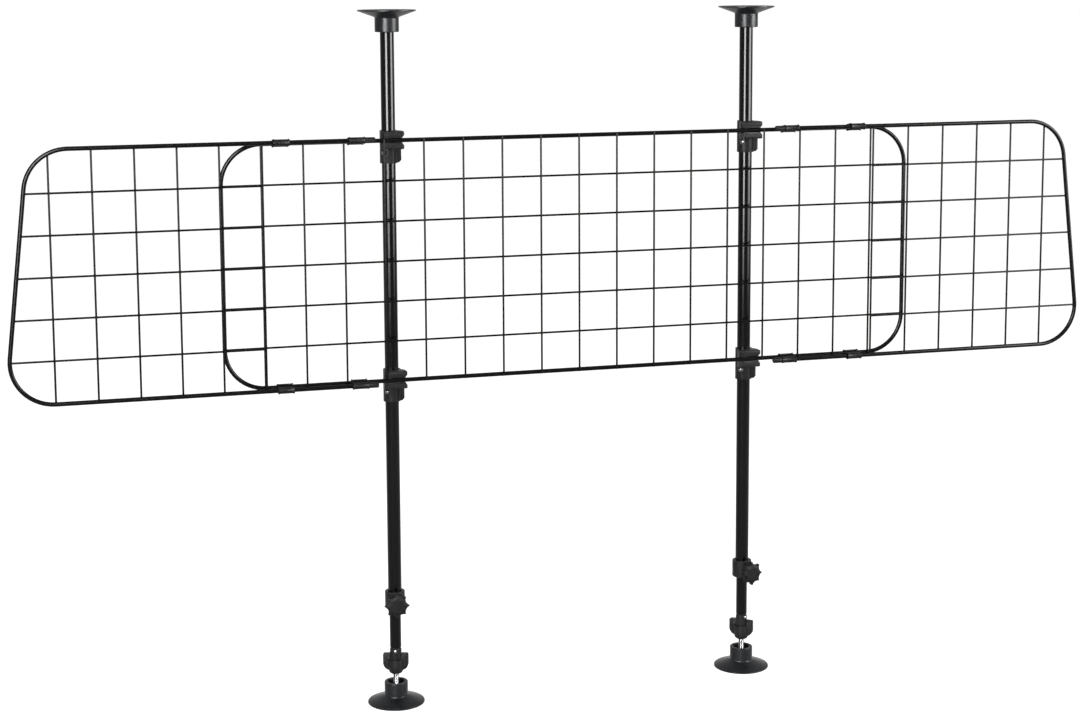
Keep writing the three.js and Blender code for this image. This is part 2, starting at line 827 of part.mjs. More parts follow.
// A star knob along +Z: the star run through a turned blank with a domed face
function starKnobBody() {
  const back = knobFace + knobHubLength;
  const front = back + knobHeadLength;
  const blankRadius = knobDiameter / 2 - knobTipTrim;
  const blank = revolved(
    [
      [0, back],
      [blankRadius - knobBevel, back],
      [blankRadius, back + knobBevel],
      [blankRadius, front - 2 * knobBevel],
      [blankRadius - 2 * knobBevel, front - knobBevel],
      [knobHubDiameter / 2, front],
      [0, front],
    ],
    collarSides
  );
  const star = new THREE.ExtrudeGeometry(starOutline(), {
    depth: knobHeadLength + 2 * cutOverrun,
    bevelEnabled: false,
  });
  const head = solid(star.translate(0, 0, back - cutOverrun)).intersect(blank);
  const hub = upright(knobHubDiameter / 2, knobFace, back + knobBevel, collarSides);
  const hole = knobStudDiameter / 2 + fitGap;
  return cutBy(head.add(hub), [
    upright(hole, knobFace - cutOverrun, studEnd + fitGap, smallSides),
  ]);
}

// Turns a piece built along +Z so that it points forwards at a height
function facingFront(mesh, height) {
  mesh.rotation.x = Math.PI / 2;
  mesh.position.z = height;
  return mesh;
}

function turnedGroup(degrees, meshes) {
  const group = new THREE.Group();
  group.rotation.z = radians(degrees);
  group.add(...meshes);
  return group;
}

function clampGroup(side, level, height) {
  const clamp = piece(`pole_clamp_${level}_${side}`, poleClampBody(), blackPlastic);
  const screw = piece(`clamp_screw_${level}_${side}`, clampScrewBody(), zinc);
  const group = new THREE.Group();
  group.position.z = height;
  group.add(clamp);
  group.add(turnedGroup(clampScrewTurn, [facingFront(screw, -clampScrewDrop)]));
  return group;
}

function footMesh(side, level) {
  const mesh = piece(`suction_foot_${level}_${side}`, footBody(), rubber);
  if (level === "top") {
    mesh.rotation.x = Math.PI;
    mesh.position.z = totalHeight;
  }
  return mesh;
}

function pole(side, columns, knobTurn, wingTurn, rivetTurn) {
  const group = new THREE.Group();
  group.position.x = columns * cellPitch;
  group.add(footMesh(side, "top"));
  group.add(footMesh(side, "bottom"));
  group.add(piece(`top_cap_${side}`, topCapBody(), blackPlastic));
  const innerTubeTop = innerTubeBottom + innerTubeLength;
  const innerTube = tubeBody(innerTubeBore, innerTubeRadius, innerTubeBottom, innerTubeTop);
  group.add(piece(`inner_tube_${side}`, innerTube, blackSteel));
  group.add(piece(`levelling_screw_${side}`, levellingScrewBody(), zinc));
  group.add(piece(`hex_nut_${side}`, hexNutBody(), zinc));
  const wingNut = piece(`wing_nut_${side}`, wingNutBody(), blackPlastic);
  wingNut.rotation.z = radians(wingTurn);
  wingNut.position.z = wingNutBottom;
  group.add(wingNut);
  const rivetHeight = ferruleBottom + rivetRise;
  group.add(
    turnedGroup(rivetTurn, [
      piece(`tube_ferrule_${side}`, ferruleBody(), blackPlastic),
      facingFront(piece(`ferrule_rivet_${side}`, rivetBody(), zinc), rivetHeight),
    ])
  );
  group.add(
    turnedGroup(knobTurn, [
      piece(`outer_tube_${side}`, outerTubeBody(), blackSteel),
      piece(`lock_collar_${side}`, collarBody(), blackPlastic),
      facingFront(piece(`knob_stud_${side}`, knobStudBody(), zinc), knobHeight),
      facingFront(piece(`star_knob_${side}`, starKnobBody(), blackPlastic), knobHeight),
    ])
  );
  group.add(clampGroup(side, "upper", panelHeight + centreHalfHeight));
  group.add(clampGroup(side, "lower", panelHeight - centreHalfHeight));
  return group;
}

function sideRailPieces(side, hand) {
  const group = new THREE.Group();
  group.position.y = -sidePlane;
  group.add(piece(`side_panel_${side}`, sidePanelBody(hand), blackWire));
  for (const [level, sign] of [["top", 1], ["bottom", -1]]) {
    const cap = piece(`rail_cap_${level}_${side}`, endCapBody(), blackPlastic);
    cap.rotation.y = (hand * Math.PI) / 2;
    cap.position.set(hand * capStart, 0, sign * sideHalfHeight);
    group.add(cap);
  }
  return group;
}

function railClips(side, hand) {
  const group = new THREE.Group();
  const places = { inner: innerClipPlace, outer: outerClipPlace };
  for (const [level, sign] of [["top", 1], ["bottom", -1]]) {
    for (const [name, place] of Object.entries(places)) {
      const clip = piece(`rail_clip_${level}_${name}_${side}`, railClipBody(), blackPlastic);
      clip.rotation.y = sign > 0 ? 0 : Math.PI;
      clip.position.set(hand * place, 0, sign * centreHalfHeight);
      group.add(clip);
    }
  }
  return group;
}

function panels() {
  const group = new THREE.Group();
  group.position.set(0, -railStandoff, panelHeight);
  group.add(piece("centre_panel", centrePanelBody(), blackWire));
  for (const [side, hand] of [["left", -1], ["right", 1]]) {
    group.add(sideRailPieces(side, hand));
    group.add(railClips(side, hand));
  }
  return group;
}

const guard = new THREE.Group();
guard.add(panels());
guard.add(pole("left", leftPoleColumns, leftKnobTurn, leftWingTurn, leftRivetTurn));
guard.add(pole("right", rightPoleColumns, rightKnobTurn, rightWingTurn, rightRivetTurn));

export default guard;
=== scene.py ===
# A guard for the boot of a car: a fixed wire mesh panel with two sliding side panels,
# clamped to two telescopic poles. The script follows the guard as it is put together.
# Shapes are made in millimetres in the frame's own places and shown in metres.
import json
import math

import bmesh
import bpy
from mathutils import Matrix, Vector

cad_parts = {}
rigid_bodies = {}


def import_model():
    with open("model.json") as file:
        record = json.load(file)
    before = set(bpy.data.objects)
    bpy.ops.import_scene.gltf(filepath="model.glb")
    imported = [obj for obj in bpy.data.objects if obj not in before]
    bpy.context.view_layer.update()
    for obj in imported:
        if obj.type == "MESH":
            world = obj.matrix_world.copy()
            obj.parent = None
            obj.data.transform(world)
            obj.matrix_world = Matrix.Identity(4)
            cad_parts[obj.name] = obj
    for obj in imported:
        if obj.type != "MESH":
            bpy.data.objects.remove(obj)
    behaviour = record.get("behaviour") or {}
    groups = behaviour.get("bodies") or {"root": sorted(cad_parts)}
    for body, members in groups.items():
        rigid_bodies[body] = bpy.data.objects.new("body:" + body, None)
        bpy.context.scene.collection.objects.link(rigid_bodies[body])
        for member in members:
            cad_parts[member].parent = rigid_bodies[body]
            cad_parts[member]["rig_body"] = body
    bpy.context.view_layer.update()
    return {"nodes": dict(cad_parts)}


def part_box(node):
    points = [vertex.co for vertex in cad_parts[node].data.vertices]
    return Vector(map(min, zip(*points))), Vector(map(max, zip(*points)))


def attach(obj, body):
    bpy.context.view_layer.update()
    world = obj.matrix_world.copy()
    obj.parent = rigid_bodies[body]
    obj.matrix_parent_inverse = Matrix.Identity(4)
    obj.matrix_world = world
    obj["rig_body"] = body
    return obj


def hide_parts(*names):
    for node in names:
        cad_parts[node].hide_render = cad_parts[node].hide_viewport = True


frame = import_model()


# The camera stands in front of the guard's left half, at the height of the upper feet,
# and looks past the middle. The shift keeps the poles nearly upright in the picture.
def new_object(name, data):
    """An object with its data, in the scene."""
    made = bpy.data.objects.new(name, data)
    bpy.context.scene.collection.objects.link(made)
    return made


image_width = 1080
focal_pixels = 2041
view_drop_pixels = 130
camera_place = Vector((-0.8288, -2.7345, 1.0345))
yaw, pitch, roll = (math.radians(angle) for angle in (15.888, 7.488, -0.272))
forward = Vector((math.sin(yaw), math.cos(yaw), 0)) * math.cos(pitch)
forward.z = -math.sin(pitch)
level_right = Vector((math.cos(yaw), -math.sin(yaw), 0))
level_up = level_right.cross(forward)
right = level_right * math.cos(roll) + level_up * math.sin(roll)
up = level_up * math.cos(roll) - level_right * math.sin(roll)
camera = new_object("camera", bpy.data.cameras.new("camera"))
camera.data.lens = focal_pixels / image_width * camera.data.sensor_width
camera.data.shift_y = -view_drop_pixels / image_width
camera.data.clip_end = 100
turn = Matrix((right, up, -forward)).transposed().to_4x4()
camera.matrix_world = Matrix.Translation(camera_place) @ turn
bpy.context.scene.camera = camera
bpy.context.scene.view_settings.view_transform = "Standard"


# The studio is a tent of white cloth over a pale paper floor. Two tall strip lights, which
# fade towards their lower ends, show only in the gloss; two soft lamps shape the mouldings.
def linear(hex_colour):
    """An sRGB hex colour as linear red, green, blue and alpha."""
    shares = [int(hex_colour[i:i + 2], 16) / 255 for i in (1, 3, 5)]
    return [s / 12.92 if s <= 0.04045 else ((s + 0.055) / 1.055) ** 2.4 for s in shares] + [1]


def set_inputs(tree, node, inputs):
    """Sets inputs of a node. Each is a value, or an output to link it to."""
    for socket, value in inputs.items():
        if isinstance(value, bpy.types.NodeSocket):
            tree.links.new(value, node.inputs[socket])
        else:
            node.inputs[socket].default_value = value


def add_node(tree, kind, inputs=None, **settings):
    """Adds a node with its settings and inputs."""
    node = tree.nodes.new(kind)
    for name, value in settings.items():
        setattr(node, name, value)
    set_inputs(tree, node, inputs or {})
    return node


def new_material(name):
    """An empty material and its node tree."""
    material = bpy.data.materials.new(name)
    material.use_nodes = True
    return material, material.node_tree


white = linear("#ffffff")
floor_reach = 30
floor_seam = -0.12
floor_step = 0.0001
floor_lift = 0.25
tent_level = 0.85

world = bpy.data.worlds.new("white_tent")
world.use_nodes = True
bpy.context.scene.world = world
tree = world.node_tree
rays = add_node(tree, "ShaderNodeLightPath")
seen = add_node(
    tree, "ShaderNodeMath",
    {0: rays.outputs["Is Camera Ray"], 1: rays.outputs["Is Transmission Ray"]},
    operation="MAXIMUM",
)
level = add_node(tree, "ShaderNodeMath", {0: seen.outputs[0], 1: tent_level}, operation="MAXIMUM")
set_inputs(tree, tree.nodes["Background"], {"Color": white, "Strength": level.outputs[0]})

paper, tree = new_material("matt_white_paper")
paper_shader = tree.nodes["Principled BSDF"]
set_inputs(tree, paper_shader, {"Base Color": linear("#f4f4f2"), "Roughness": 0.9})
rays = add_node(tree, "ShaderNodeLightPath")
lift = add_node(
    tree, "ShaderNodeMath", {0: rays.outputs["Is Camera Ray"], 1: floor_lift},
    operation="MULTIPLY",
)
glow = add_node(tree, "ShaderNodeEmission", {"Color": white, "Strength": lift.outputs[0]})
both = add_node(
    tree, "ShaderNodeAddShader", {0: paper_shader.outputs["BSDF"], 1: glow.outputs["Emission"]}
)
set_inputs(tree, tree.nodes["Material Output"], {"Surface": both.outputs[0]})


def flat_panel(name, corners, material):
    """A flat stage surface through four corners, in metres."""
    mesh = bpy.data.meshes.new(name)
    mesh.from_pydata(corners, [], [(0, 1, 2, 3)])
    mesh.materials.append(material)
    panel = new_object(name, mesh)
    return panel


def oblong(left, right, bottom, top):
    """The four corners of an oblong."""
    return [(left, bottom), (right, bottom), (right, top), (left, top)]


# The floor lies in two halves, each under one pole. A half rides on its pole's lower foot, so
# that the foot stands on it however far the pole is drawn out. The right half is a hair lower,
# because the halves overlap when the poles stand close together.
floor_halves = {
    "left": (-floor_reach, floor_seam, 0),
    "right": (floor_seam, floor_reach, -floor_step),
}
for side, (start, end, height) in floor_halves.items():
    outline = oblong(start, end, -floor_reach, floor_reach)
    corners = [(x, y, height) for x, y in outline]
    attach(flat_panel(f"floor_{side}", corners, paper), f"foot_{side}")

# Each strip: angle from the front towards the left, distance, width and brightness
strips = {
    "strip_left": (34, 2.2, 0.94, 78),
    "strip_right": (-57, 2.3, 1.4, 40),
}
strip_bottom = 0.1
strip_full = 0.8
strip_top = 2.1
for name, (angle, distance, width, brightness) in strips.items():
    strip_light, tree = new_material(name)
    tree.nodes.remove(tree.nodes["Principled BSDF"])
    place = add_node(tree, "ShaderNodeTexCoord").outputs["Object"]
    height = add_node(tree, "ShaderNodeSeparateXYZ", {0: place}).outputs["Z"]
    fade = add_node(
        tree, "ShaderNodeMapRange",
        {"Value": height, "From Min": strip_bottom, "From Max": strip_full, "To Max": brightness},
        interpolation_type="SMOOTHSTEP",
    )
    glow = add_node(tree, "ShaderNodeEmission", {"Color": white, "Strength": fade.outputs["Result"]})
    set_inputs(tree, tree.nodes["Material Output"], {"Surface": glow.outputs["Emission"]})
    outwards = Vector((-math.sin(math.radians(angle)), -math.cos(math.radians(angle)), 0))
    sideways = Vector((-outwards.y, outwards.x, 0)) * width / 2
    low = outwards * distance + Vector((0, 0, strip_bottom))
    high = outwards * distance + Vector((0, 0, strip_top))
    corners = [low - sideways, low + sideways, high + sideways, high - sideways]
    strip = flat_panel(name, corners, strip_light)
    strip.visible_camera = False
    strip.visible_diffuse = False
    strip.visible_shadow = False
    strip.visible_transmission = False

# Each lamp: place, width, height, power in watts
lamps = {
    "lamp_above": ((-0.3, -0.6, 2.6), 2.6, 2.0, 16),
    "lamp_front": ((-1.5, -2.4, 1.7), 1.6, 1.6, 14),
}
lamp_target = Vector((0, 0, 0.5))
for name, (place, width, height, power) in lamps.items():
    lamp = new_object(name, bpy.data.lights.new(name, "AREA"))
    lamp.data.shape = "RECTANGLE"
    lamp.data.size = width
    lamp.data.size_y = height
    lamp.data.energy = power
    lamp.location = place
    aim = lamp_target - Vector(place)
    lamp.rotation_euler = aim.to_track_quat("-Z", "Y").to_euler()
    lamp.visible_camera = False


# The centre panel is one 6 mm steel rod bent into a loop and butt welded in the middle of
# the bottom rail. Uprights of 2.8 mm wire are spot welded on its front, level wires behind
# them, and the whole is dipped and powder coated black.
MM = 0.001
cell_pitch = 55.3
panel_rows = 6
centre_columns = 18
rod_diameter = 6
wire_diameter = 2.8
centre_bend_radius = 55
bend_steps = 14
rod_sides = 20
wire_sides = 12
panel_height = 633
centre_plane = -20
upright_standoff = 3.8
level_standoff = 1.34
upright_overhang = 2.1
butt_weld_size = (2.8, 3.35, 3.35)
rod_spot_size = (2.0, 0.9, 1.9)
wire_spot_size = (1.75, 0.8, 1.75)
level_end_spot_size = (0.9, 1.8, 1.8)
rod_spot_sink = 0.3
level_end_spot_sink = 0.2
centre_half_width = centre_columns * cell_pitch / 2
centre_half_height = panel_rows * cell_pitch / 2


def bent_line(corners, radius, closed):
    """The middle line of a rod: straight runs with each corner bent to a radius."""
    points = []
    for i, corner in enumerate(corners):
        if not closed and i in (0, len(corners) - 1):
            points.append(corner)
            continue
        before = (corners[i - 1] - corner).normalized()
        after = (corners[(i + 1) % len(corners)] - corner).normalized()
        half = before.angle(after) / 2
        middle = corner + (before + after).normalized() * radius / math.sin(half)
        start = corner + before * radius / math.tan(half) - middle
        end = corner + after * radius / math.tan(half) - middle
        sweep = start.angle(end)
        for step in range(bend_steps + 1):
            share = step / bend_steps
            along = start * math.sin((1 - share) * sweep) + end * math.sin(share * sweep)
            points.append(middle + along / math.sin(sweep))
    return points


def line_drawing(rod, closed, wires, spots):
    """A mesh of middle lines: the rod and the wires as edges, weld spots as loose points."""
    points = list(rod)
    edges = [(i, i + 1) for i in range(len(rod) - 1)]
    if closed:
        edges.append((len(rod) - 1, 0))
    rod_edges = len(edges)
    for start, end in wires:
        edges.append((len(points), len(points) + 1))
        points += [start, end]
    first_spot = len(points)
    points += [place for place, size in spots]
    drawing = bpy.data.meshes.new("drawing")
    drawing.from_pydata(points, edges, [])
    is_rod = drawing.attributes.new("is_rod", "BOOLEAN", "EDGE")
    for i in range(len(edges)):
        is_rod.data[i].value = i < rod_edges
    is_spot = drawing.attributes.new("is_spot", "BOOLEAN", "POINT")
    spot_size = drawing.attributes.new("spot_size", "FLOAT_VECTOR", "POINT")
    for i, (place, size) in enumerate(spots):
        is_spot.data[first_spot + i].value = True
        spot_size.data[first_spot + i].vector = size
    return drawing


def new_tree(name, inputs):
    """A geometry node group with named inputs, and its Group Input node's outputs."""
    group = bpy.data.node_groups.new(name, "GeometryNodeTree")
    for label, kind, value in inputs:
        kind = f"NodeSocket{kind}"
        socket = group.interface.new_socket(label, in_out="INPUT", socket_type=kind)
        if value is not None:
            socket.default_value = value
    group.interface.new_socket("Geometry", in_out="OUTPUT", socket_type="NodeSocketGeometry")
    return group, add_node(group, "NodeGroupInput").outputs


def finish_tree(group, geometry, material):
    """Ends a tree: instances made real, smooth faces and the finish set."""
    real = add_node(group, "GeometryNodeRealizeInstances", {"Geometry": geometry})
    smooth = add_node(group, "GeometryNodeSetShadeSmooth", {"Geometry": real.outputs["Geometry"]})
    coated = add_node(
        group, "GeometryNodeSetMaterial",
        {"Geometry": smooth.outputs["Geometry"], "Material": material},
    )
    add_node(group, "NodeGroupOutput", {"Geometry": coated.outputs["Geometry"]})


def plain_mesh(shape):
    """The mesh of an object with its modifiers applied. The object itself is removed."""
    depsgraph = bpy.context.evaluated_depsgraph_get()
    mesh = bpy.data.meshes.new_from_object(shape.evaluated_get(depsgraph))
    bpy.data.objects.remove(shape)
    return mesh


def grown(group, drawing, values):
    """The plain mesh that a node group makes from a drawing with the given inputs."""
    holder = new_object("holder", drawing)
    modifier = holder.modifiers.new("growth", "NODES")
    modifier.node_group = group
    for item in group.interface.items_tree:
        if item.name in values:
            modifier[item.identifier] = values[item.name]
    return plain_mesh(holder)


mesh_maker, wanted = new_tree(
    "welded_mesh",
    [
        ("Drawing", "Geometry", None),
        ("Rod Diameter", "Float", rod_diameter),
        ("Wire Diameter", "Float", wire_diameter),
        ("Rod Sides", "Int", rod_sides),
        ("Wire Sides", "Int", wire_sides),
        ("Finish", "Material", None),
    ],
)
marks = {}
for mark, kind in (("is_rod", "BOOLEAN"), ("is_spot", "BOOLEAN"), ("spot_size", "FLOAT_VECTOR")):
    stored = add_node(
        mesh_maker, "GeometryNodeInputNamedAttribute", {"Name": mark}, data_type=kind
    )
    marks[mark] = stored.outputs["Attribute"]
parted = add_node(
    mesh_maker, "GeometryNodeSeparateGeometry",
    {"Geometry": wanted["Drawing"], "Selection": marks["is_rod"]},
    domain="EDGE",
)
tubes = []
for part, kind in (("Selection", "Rod"), ("Inverted", "Wire")):
    line = add_node(mesh_maker, "GeometryNodeMeshToCurve", {"Mesh": parted.outputs[part]})
    diameter = wanted[f"{kind} Diameter"]
    radius = add_node(mesh_maker, "ShaderNodeMath", {0: diameter, 1: 2}, operation="DIVIDE")
    section = add_node(
        mesh_maker, "GeometryNodeCurvePrimitiveCircle",
        {"Resolution": wanted[f"{kind} Sides"], "Radius": radius.outputs[0]},
    )
    tubes.append(add_node(
        mesh_maker, "GeometryNodeCurveToMesh",
        {"Curve": line.outputs["Curve"], "Profile Curve": section.outputs["Curve"], "Fill Caps": True},
    ))
spot_points = add_node(
    mesh_maker, "GeometryNodeSeparateGeometry",
    {"Geometry": wanted["Drawing"], "Selection": marks["is_spot"]},
    domain="POINT",
)
bead = add_node(mesh_maker, "GeometryNodeMeshIcoSphere", {"Radius": 1, "Subdivisions": 2})
welds = add_node(
    mesh_maker, "GeometryNodeInstanceOnPoints",
    {
        "Points": spot_points.outputs["Selection"],
        "Instance": bead.outputs["Mesh"],
        "Scale": marks["spot_size"],
    },
)
all_parts = add_node(mesh_maker, "GeometryNodeJoinGeometry")
for made in (welds.outputs["Instances"], tubes[1].outputs["Mesh"], tubes[0].outputs["Mesh"]):
    mesh_maker.links.new(made, all_parts.inputs["Geometry"])
finish_tree(mesh_maker, all_parts.outputs["Geometry"], wanted["Finish"])


# Black polyester powder coat, stoved on the steel: a hard gloss film that has flowed into
# a faint ripple. It gives the eye a near black body with narrow bright streaks.
def features_per_metre(size_mm):
    """A texture scale from the real size of one feature."""
    return 1000 / size_mm


MIX_FACTOR, MIX_LOW, MIX_HIGH, MIX_RESULT = 0, 6, 7, 2


def varied_finish(
    name, constants, colours, roughness, noises, strength, depth=0.0002, spread=(0.3, 0.7)
):
    """A finish whose colour, gloss and relief each follow a noise, in that order.

    A noise is the real size of one feature in millimetres and its settings. The spread is
    the part of the noise that runs over the range of roughness.
    """
    material, tree = new_material(name)
    place = add_node(tree, "ShaderNodeTexCoord").outputs["Object"]
    drift, wear, height = (
        add_node(
            tree, "ShaderNodeTexNoise",
            {"Vector": place, "Scale": features_per_metre(size_mm), **settings},
        ).outputs["Fac"]
        for size_mm, settings in noises
    )
    body, patch = (linear(hex_colour) for hex_colour in colours)
    colour = add_node(
        tree, "ShaderNodeMix", {MIX_FACTOR: drift, MIX_LOW: body, MIX_HIGH: patch},
        data_type="RGBA",
    )
    limits = {
        "From Min": spread[0],
        "From Max": spread[1],
        "To Min": roughness[0],
        "To Max": roughness[1],
    }
    gloss = add_node(tree, "ShaderNodeMapRange", {"Value": wear, **limits})
    relief = add_node(
        tree, "ShaderNodeBump", {"Height": height, "Strength": strength, "Distance": depth}
    )
    made = {
        "Base Color": colour.outputs[MIX_RESULT],
        "Roughness": gloss.outputs["Result"],
        "Normal": relief.outputs["Normal"],
    }
    set_inputs(tree, tree.nodes["Principled BSDF"], {**constants, **made})
    return material


def powder_coat(name, colours, gloss_level, roughness, ripple_mm, ripple_strength):
    """Powder coat with a drift of colour, uneven gloss and the ripple of its flow."""
    constants = {"IOR": 1.48, "Specular IOR Level": gloss_level}
    noises = [
        (35, {"Detail": 4, "Roughness": 0.6}),
        (9, {"Detail": 5, "Roughness": 0.65}),
        (ripple_mm, {"Detail": 2, "Roughness": 0.45}),
    ]
    return varied_finish(name, constants, colours, roughness, noises, ripple_strength)


mesh_coat = powder_coat(
    "powder_coated_steel_wire", ("#060607", "#0c0c0d"),
    gloss_level=0.06, roughness=(0.16, 0.26), ripple_mm=1.6, ripple_strength=0.06,
)


def show_piece(name, mesh, place, finish, node):
    """Shows a shape made in millimetres as the piece that stands for a CAD node."""
    placed = mesh.copy()
    placed.name = name
    placed.transform(Matrix.Scale(MM, 4) @ place)
    placed.materials.clear()
    placed.materials.append(finish)
    piece = new_object(name, placed)
    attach(piece, frame["nodes"][node]["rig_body"])
    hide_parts(node)


def smoothed(mesh, sharp_degrees=32):
    """Smooth faces, with the edges kept sharp where they turn further than an angle."""
    mesh.shade_smooth()
    mesh.set_sharp_from_angle(angle=math.radians(sharp_degrees))
    return mesh


level_heights = [(row - (panel_rows - 2) / 2) * cell_pitch for row in range(panel_rows - 1)]
loop_corners = [
    Vector((x * centre_half_width, 0, z * centre_half_height))
    for x, z in ((1, -1), (1, 1), (-1, 1), (-1, -1))
]
loop = bent_line(loop_corners, centre_bend_radius, True)
upright_y = -upright_standoff
level_y = -level_standoff
rod_spot_step = wire_diameter / 2 - rod_spot_sink
level_end_spot_step = rod_diameter / 2 - level_end_spot_sink
wires = []
spots = [(Vector((0, 0, -centre_half_height)), butt_weld_size)]
upright_reach = centre_half_height + upright_overhang
for column in range(1, centre_columns):
    x = column * cell_pitch - centre_half_width
    wires.append([Vector((x, upright_y, sign * upright_reach)) for sign in (-1, 1)])
    for z in (-centre_half_height, centre_half_height):
        spots.append((Vector((x, upright_y + rod_spot_step, z)), rod_spot_size))
    for z in level_heights:
        spots.append((Vector((x, (upright_y + level_y) / 2, z)), wire_spot_size))
for z in level_heights:
    wires.append([Vector((sign * centre_half_width, level_y, z)) for sign in (-1, 1)])
    for sign in (-1, 1):
        inner = sign * (centre_half_width - level_end_spot_step)
        spots.append((Vector((inner, level_y, z)), level_end_spot_size))
mesh_values = {"Finish": mesh_coat}
centre_mesh = grown(mesh_maker, line_drawing(loop, True, wires, spots), mesh_values)
centre_place = Matrix.Translation((0, centre_plane, panel_height))
show_piece("centre_mesh", smoothed(centre_mesh), centre_place, mesh_coat, "centre_panel")

# Each side panel is a rod bent into a sideways U whose outer end leans outwards. Its six
# uprights are welded on its back and the level wires in front of them, so that its rails
# can run in front of the centre panel's. Hand is 1 on the right and -1 on the left.
hands = {"left": -1, "right": 1}
side_rail_forward = 12
side_rail_rise = 2.2
side_plane = centre_plane - side_rail_forward
side_bend_radius = 57
side_uprights = 6
side_half_height = centre_half_height + side_rail_rise
side_rod_start = 291.81
first_upright_past_cell = 2.3
top_corner_overhang = 25.7
bottom_corner_overhang = 64
first_upright = centre_half_width - cell_pitch + first_upright_past_cell
last_upright = first_upright + (side_uprights - 1) * cell_pitch
side_top_corner = last_upright + top_corner_overhang
side_bottom_corner = last_upright + bottom_corner_overhang
level_start = first_upright - wire_diameter / 2
lean = math.atan2(side_bottom_corner - side_top_corner, 2 * side_half_height)


def bend_drop(x, corner, corner_turn):
    """How far the bent rod has left the straight rail's line at an upright."""
    into = max(0, x - corner + side_bend_radius * math.tan(corner_turn / 2))
    return side_bend_radius - math.sqrt(side_bend_radius ** 2 - into ** 2)


for side, hand in hands.items():
    corners = [
        Vector((hand * x, 0, z))
        for x, z in (
            (side_rod_start, side_half_height),
            (side_top_corner, side_half_height),
            (side_bottom_corner, -side_half_height),
            (side_rod_start, -side_half_height),
        )
    ]
    rod = bent_line(corners, side_bend_radius, False)
    wires = []
    spots = []
    for i in range(side_uprights):
        x = first_upright + i * cell_pitch
        top = side_half_height - bend_drop(x, side_top_corner, math.pi / 2 - lean)
        bottom = bend_drop(x, side_bottom_corner, math.pi / 2 + lean) - side_half_height
        wires.append([Vector((hand * x, upright_standoff, z)) for z in (bottom, top)])
        spot_y = upright_standoff - rod_spot_step
        spots += [(Vector((hand * x, spot_y, z)), rod_spot_size) for z in (bottom, top)]
        spot_y = (upright_standoff + level_standoff) / 2
        spots += [(Vector((hand * x, spot_y, z)), wire_spot_size) for z in level_heights]
    for z in level_heights:
        share = (side_half_height - z) / (2 * side_half_height)
        end = side_top_corner + (side_bottom_corner - side_top_corner) * share
        wires.append([Vector((hand * x, level_standoff, z)) for x in (level_start, end)])
        inner = hand * (end - level_end_spot_step)
        spots.append((Vector((inner, level_standoff, z)), level_end_spot_size))
    side_mesh = smoothed(grown(mesh_maker, line_drawing(rod, False, wires, spots), mesh_values))
    side_place = Matrix.Translation((0, side_plane, panel_height))
    node = f"side_panel_{side}"
    show_piece(f"side_mesh_{side}", side_mesh, side_place, mesh_coat, node)

# Eight clips of black nylon hook over a centre rail and the side rail in front of it, and
# stay open towards the mesh so that the side uprights pass. They are injection moulded,
# with a flared lead-in at both ends, and are snapped on.
clip_middle_radius = 3.96
clip_hook_degrees = 24
clip_arc_steps = 12
clip_distances = {"inner": 315.21, "outer": 417.515}
# Along each half of a clip: place, flare outwards and thickness of the wall
clip_half = [
    (8.4, 0.02, 1.0),
    (9.4, 0.3, 1.2),
    (10.3, 0.55, 1.25),
    (10.8, 0.58, 0.95),
    (11.0, 0.55, 0.5),
]
clip_stations = [(-x, flare, wall) for x, flare, wall in reversed(clip_half)] + clip_half
side_rail_step = Vector((0, -side_rail_forward, side_rail_rise))


def skinned(rings, closed=False):
    """A closed mesh over rings of points. A ring of one point is a pole."""
    shape = bmesh.new()
    rows = [[shape.verts.new(point) for point in ring] for ring in rings]
    around = max(len(row) for row in rows)
    following = rows[1:] + rows[:1] if closed else rows[1:]
    for low, high in zip(rows, following):
        for k in range(around):
            below = [low[i % len(low)] for i in (k, k + 1)]
            above = [high[i % len(high)] for i in (k + 1, k)]
            corners = list(dict.fromkeys(below + above))
            if len(corners) > 2:
                shape.faces.new(corners)
    if not closed:
        for row in (rows[0], rows[-1]):
            if len(row) > 2:
                shape.faces.new(row)
    bmesh.ops.recalc_face_normals(shape, faces=shape.faces)
    mesh = bpy.data.meshes.new("shape")
    shape.to_mesh(mesh)
    shape.free()
    return mesh


def clip_section(x, flare, wall):
    """The hooked section of a clip round both rods, as one closed ring."""
    tangent = 90 - math.degrees(math.atan2(side_rail_step.z, -side_rail_step.y))
    start = -90 - clip_hook_degrees
    end = 270 + clip_hook_degrees
    stations = []
    for middle, first, last in ((Vector(), start, tangent), (side_rail_step, tangent, end)):
        for step in range(clip_arc_steps + 1):
            degrees = first + (last - first) * step / clip_arc_steps
            stations.append((middle, math.radians(degrees)))

    def at(station, distance, extra_turn=0):
        middle, angle = station
        radial = Vector((0, math.cos(angle + extra_turn), math.sin(angle + extra_turn)))
        return middle + radial * distance + Vector((x, 0, 0))

    radius = clip_middle_radius + flare
    tip_turn = wall / 2 / radius
    outside = [at(station, radius + wall / 2) for station in stations]
    inside = [at(station, radius - wall / 2) for station in reversed(stations)]
    last_tip = at(stations[-1], radius, tip_turn)
    first_tip = at(stations[0], radius, -tip_turn)
    return [*outside, last_tip, *inside, first_tip]


# Nylon 66 moulded in a spark-eroded tool: a fine matt grain over a dark grey body, with
# soft broad highlights and a slight drift where the melt has flowed.
def moulded_nylon(name, colours, gloss_level, roughness, grain_mm, grain_strength):
    """Moulded black nylon with flow drift, uneven gloss and the grain of its tool."""
    constants = {"IOR": 1.52, "Specular IOR Level": gloss_level}
    grain = (grain_mm, {"Detail": 3, "Roughness": 0.6})
    noises = [(14, {"Detail": 4, "Distortion": 0.8}), grain, grain]
    return varied_finish(name, constants, colours, roughness, noises, grain_strength)


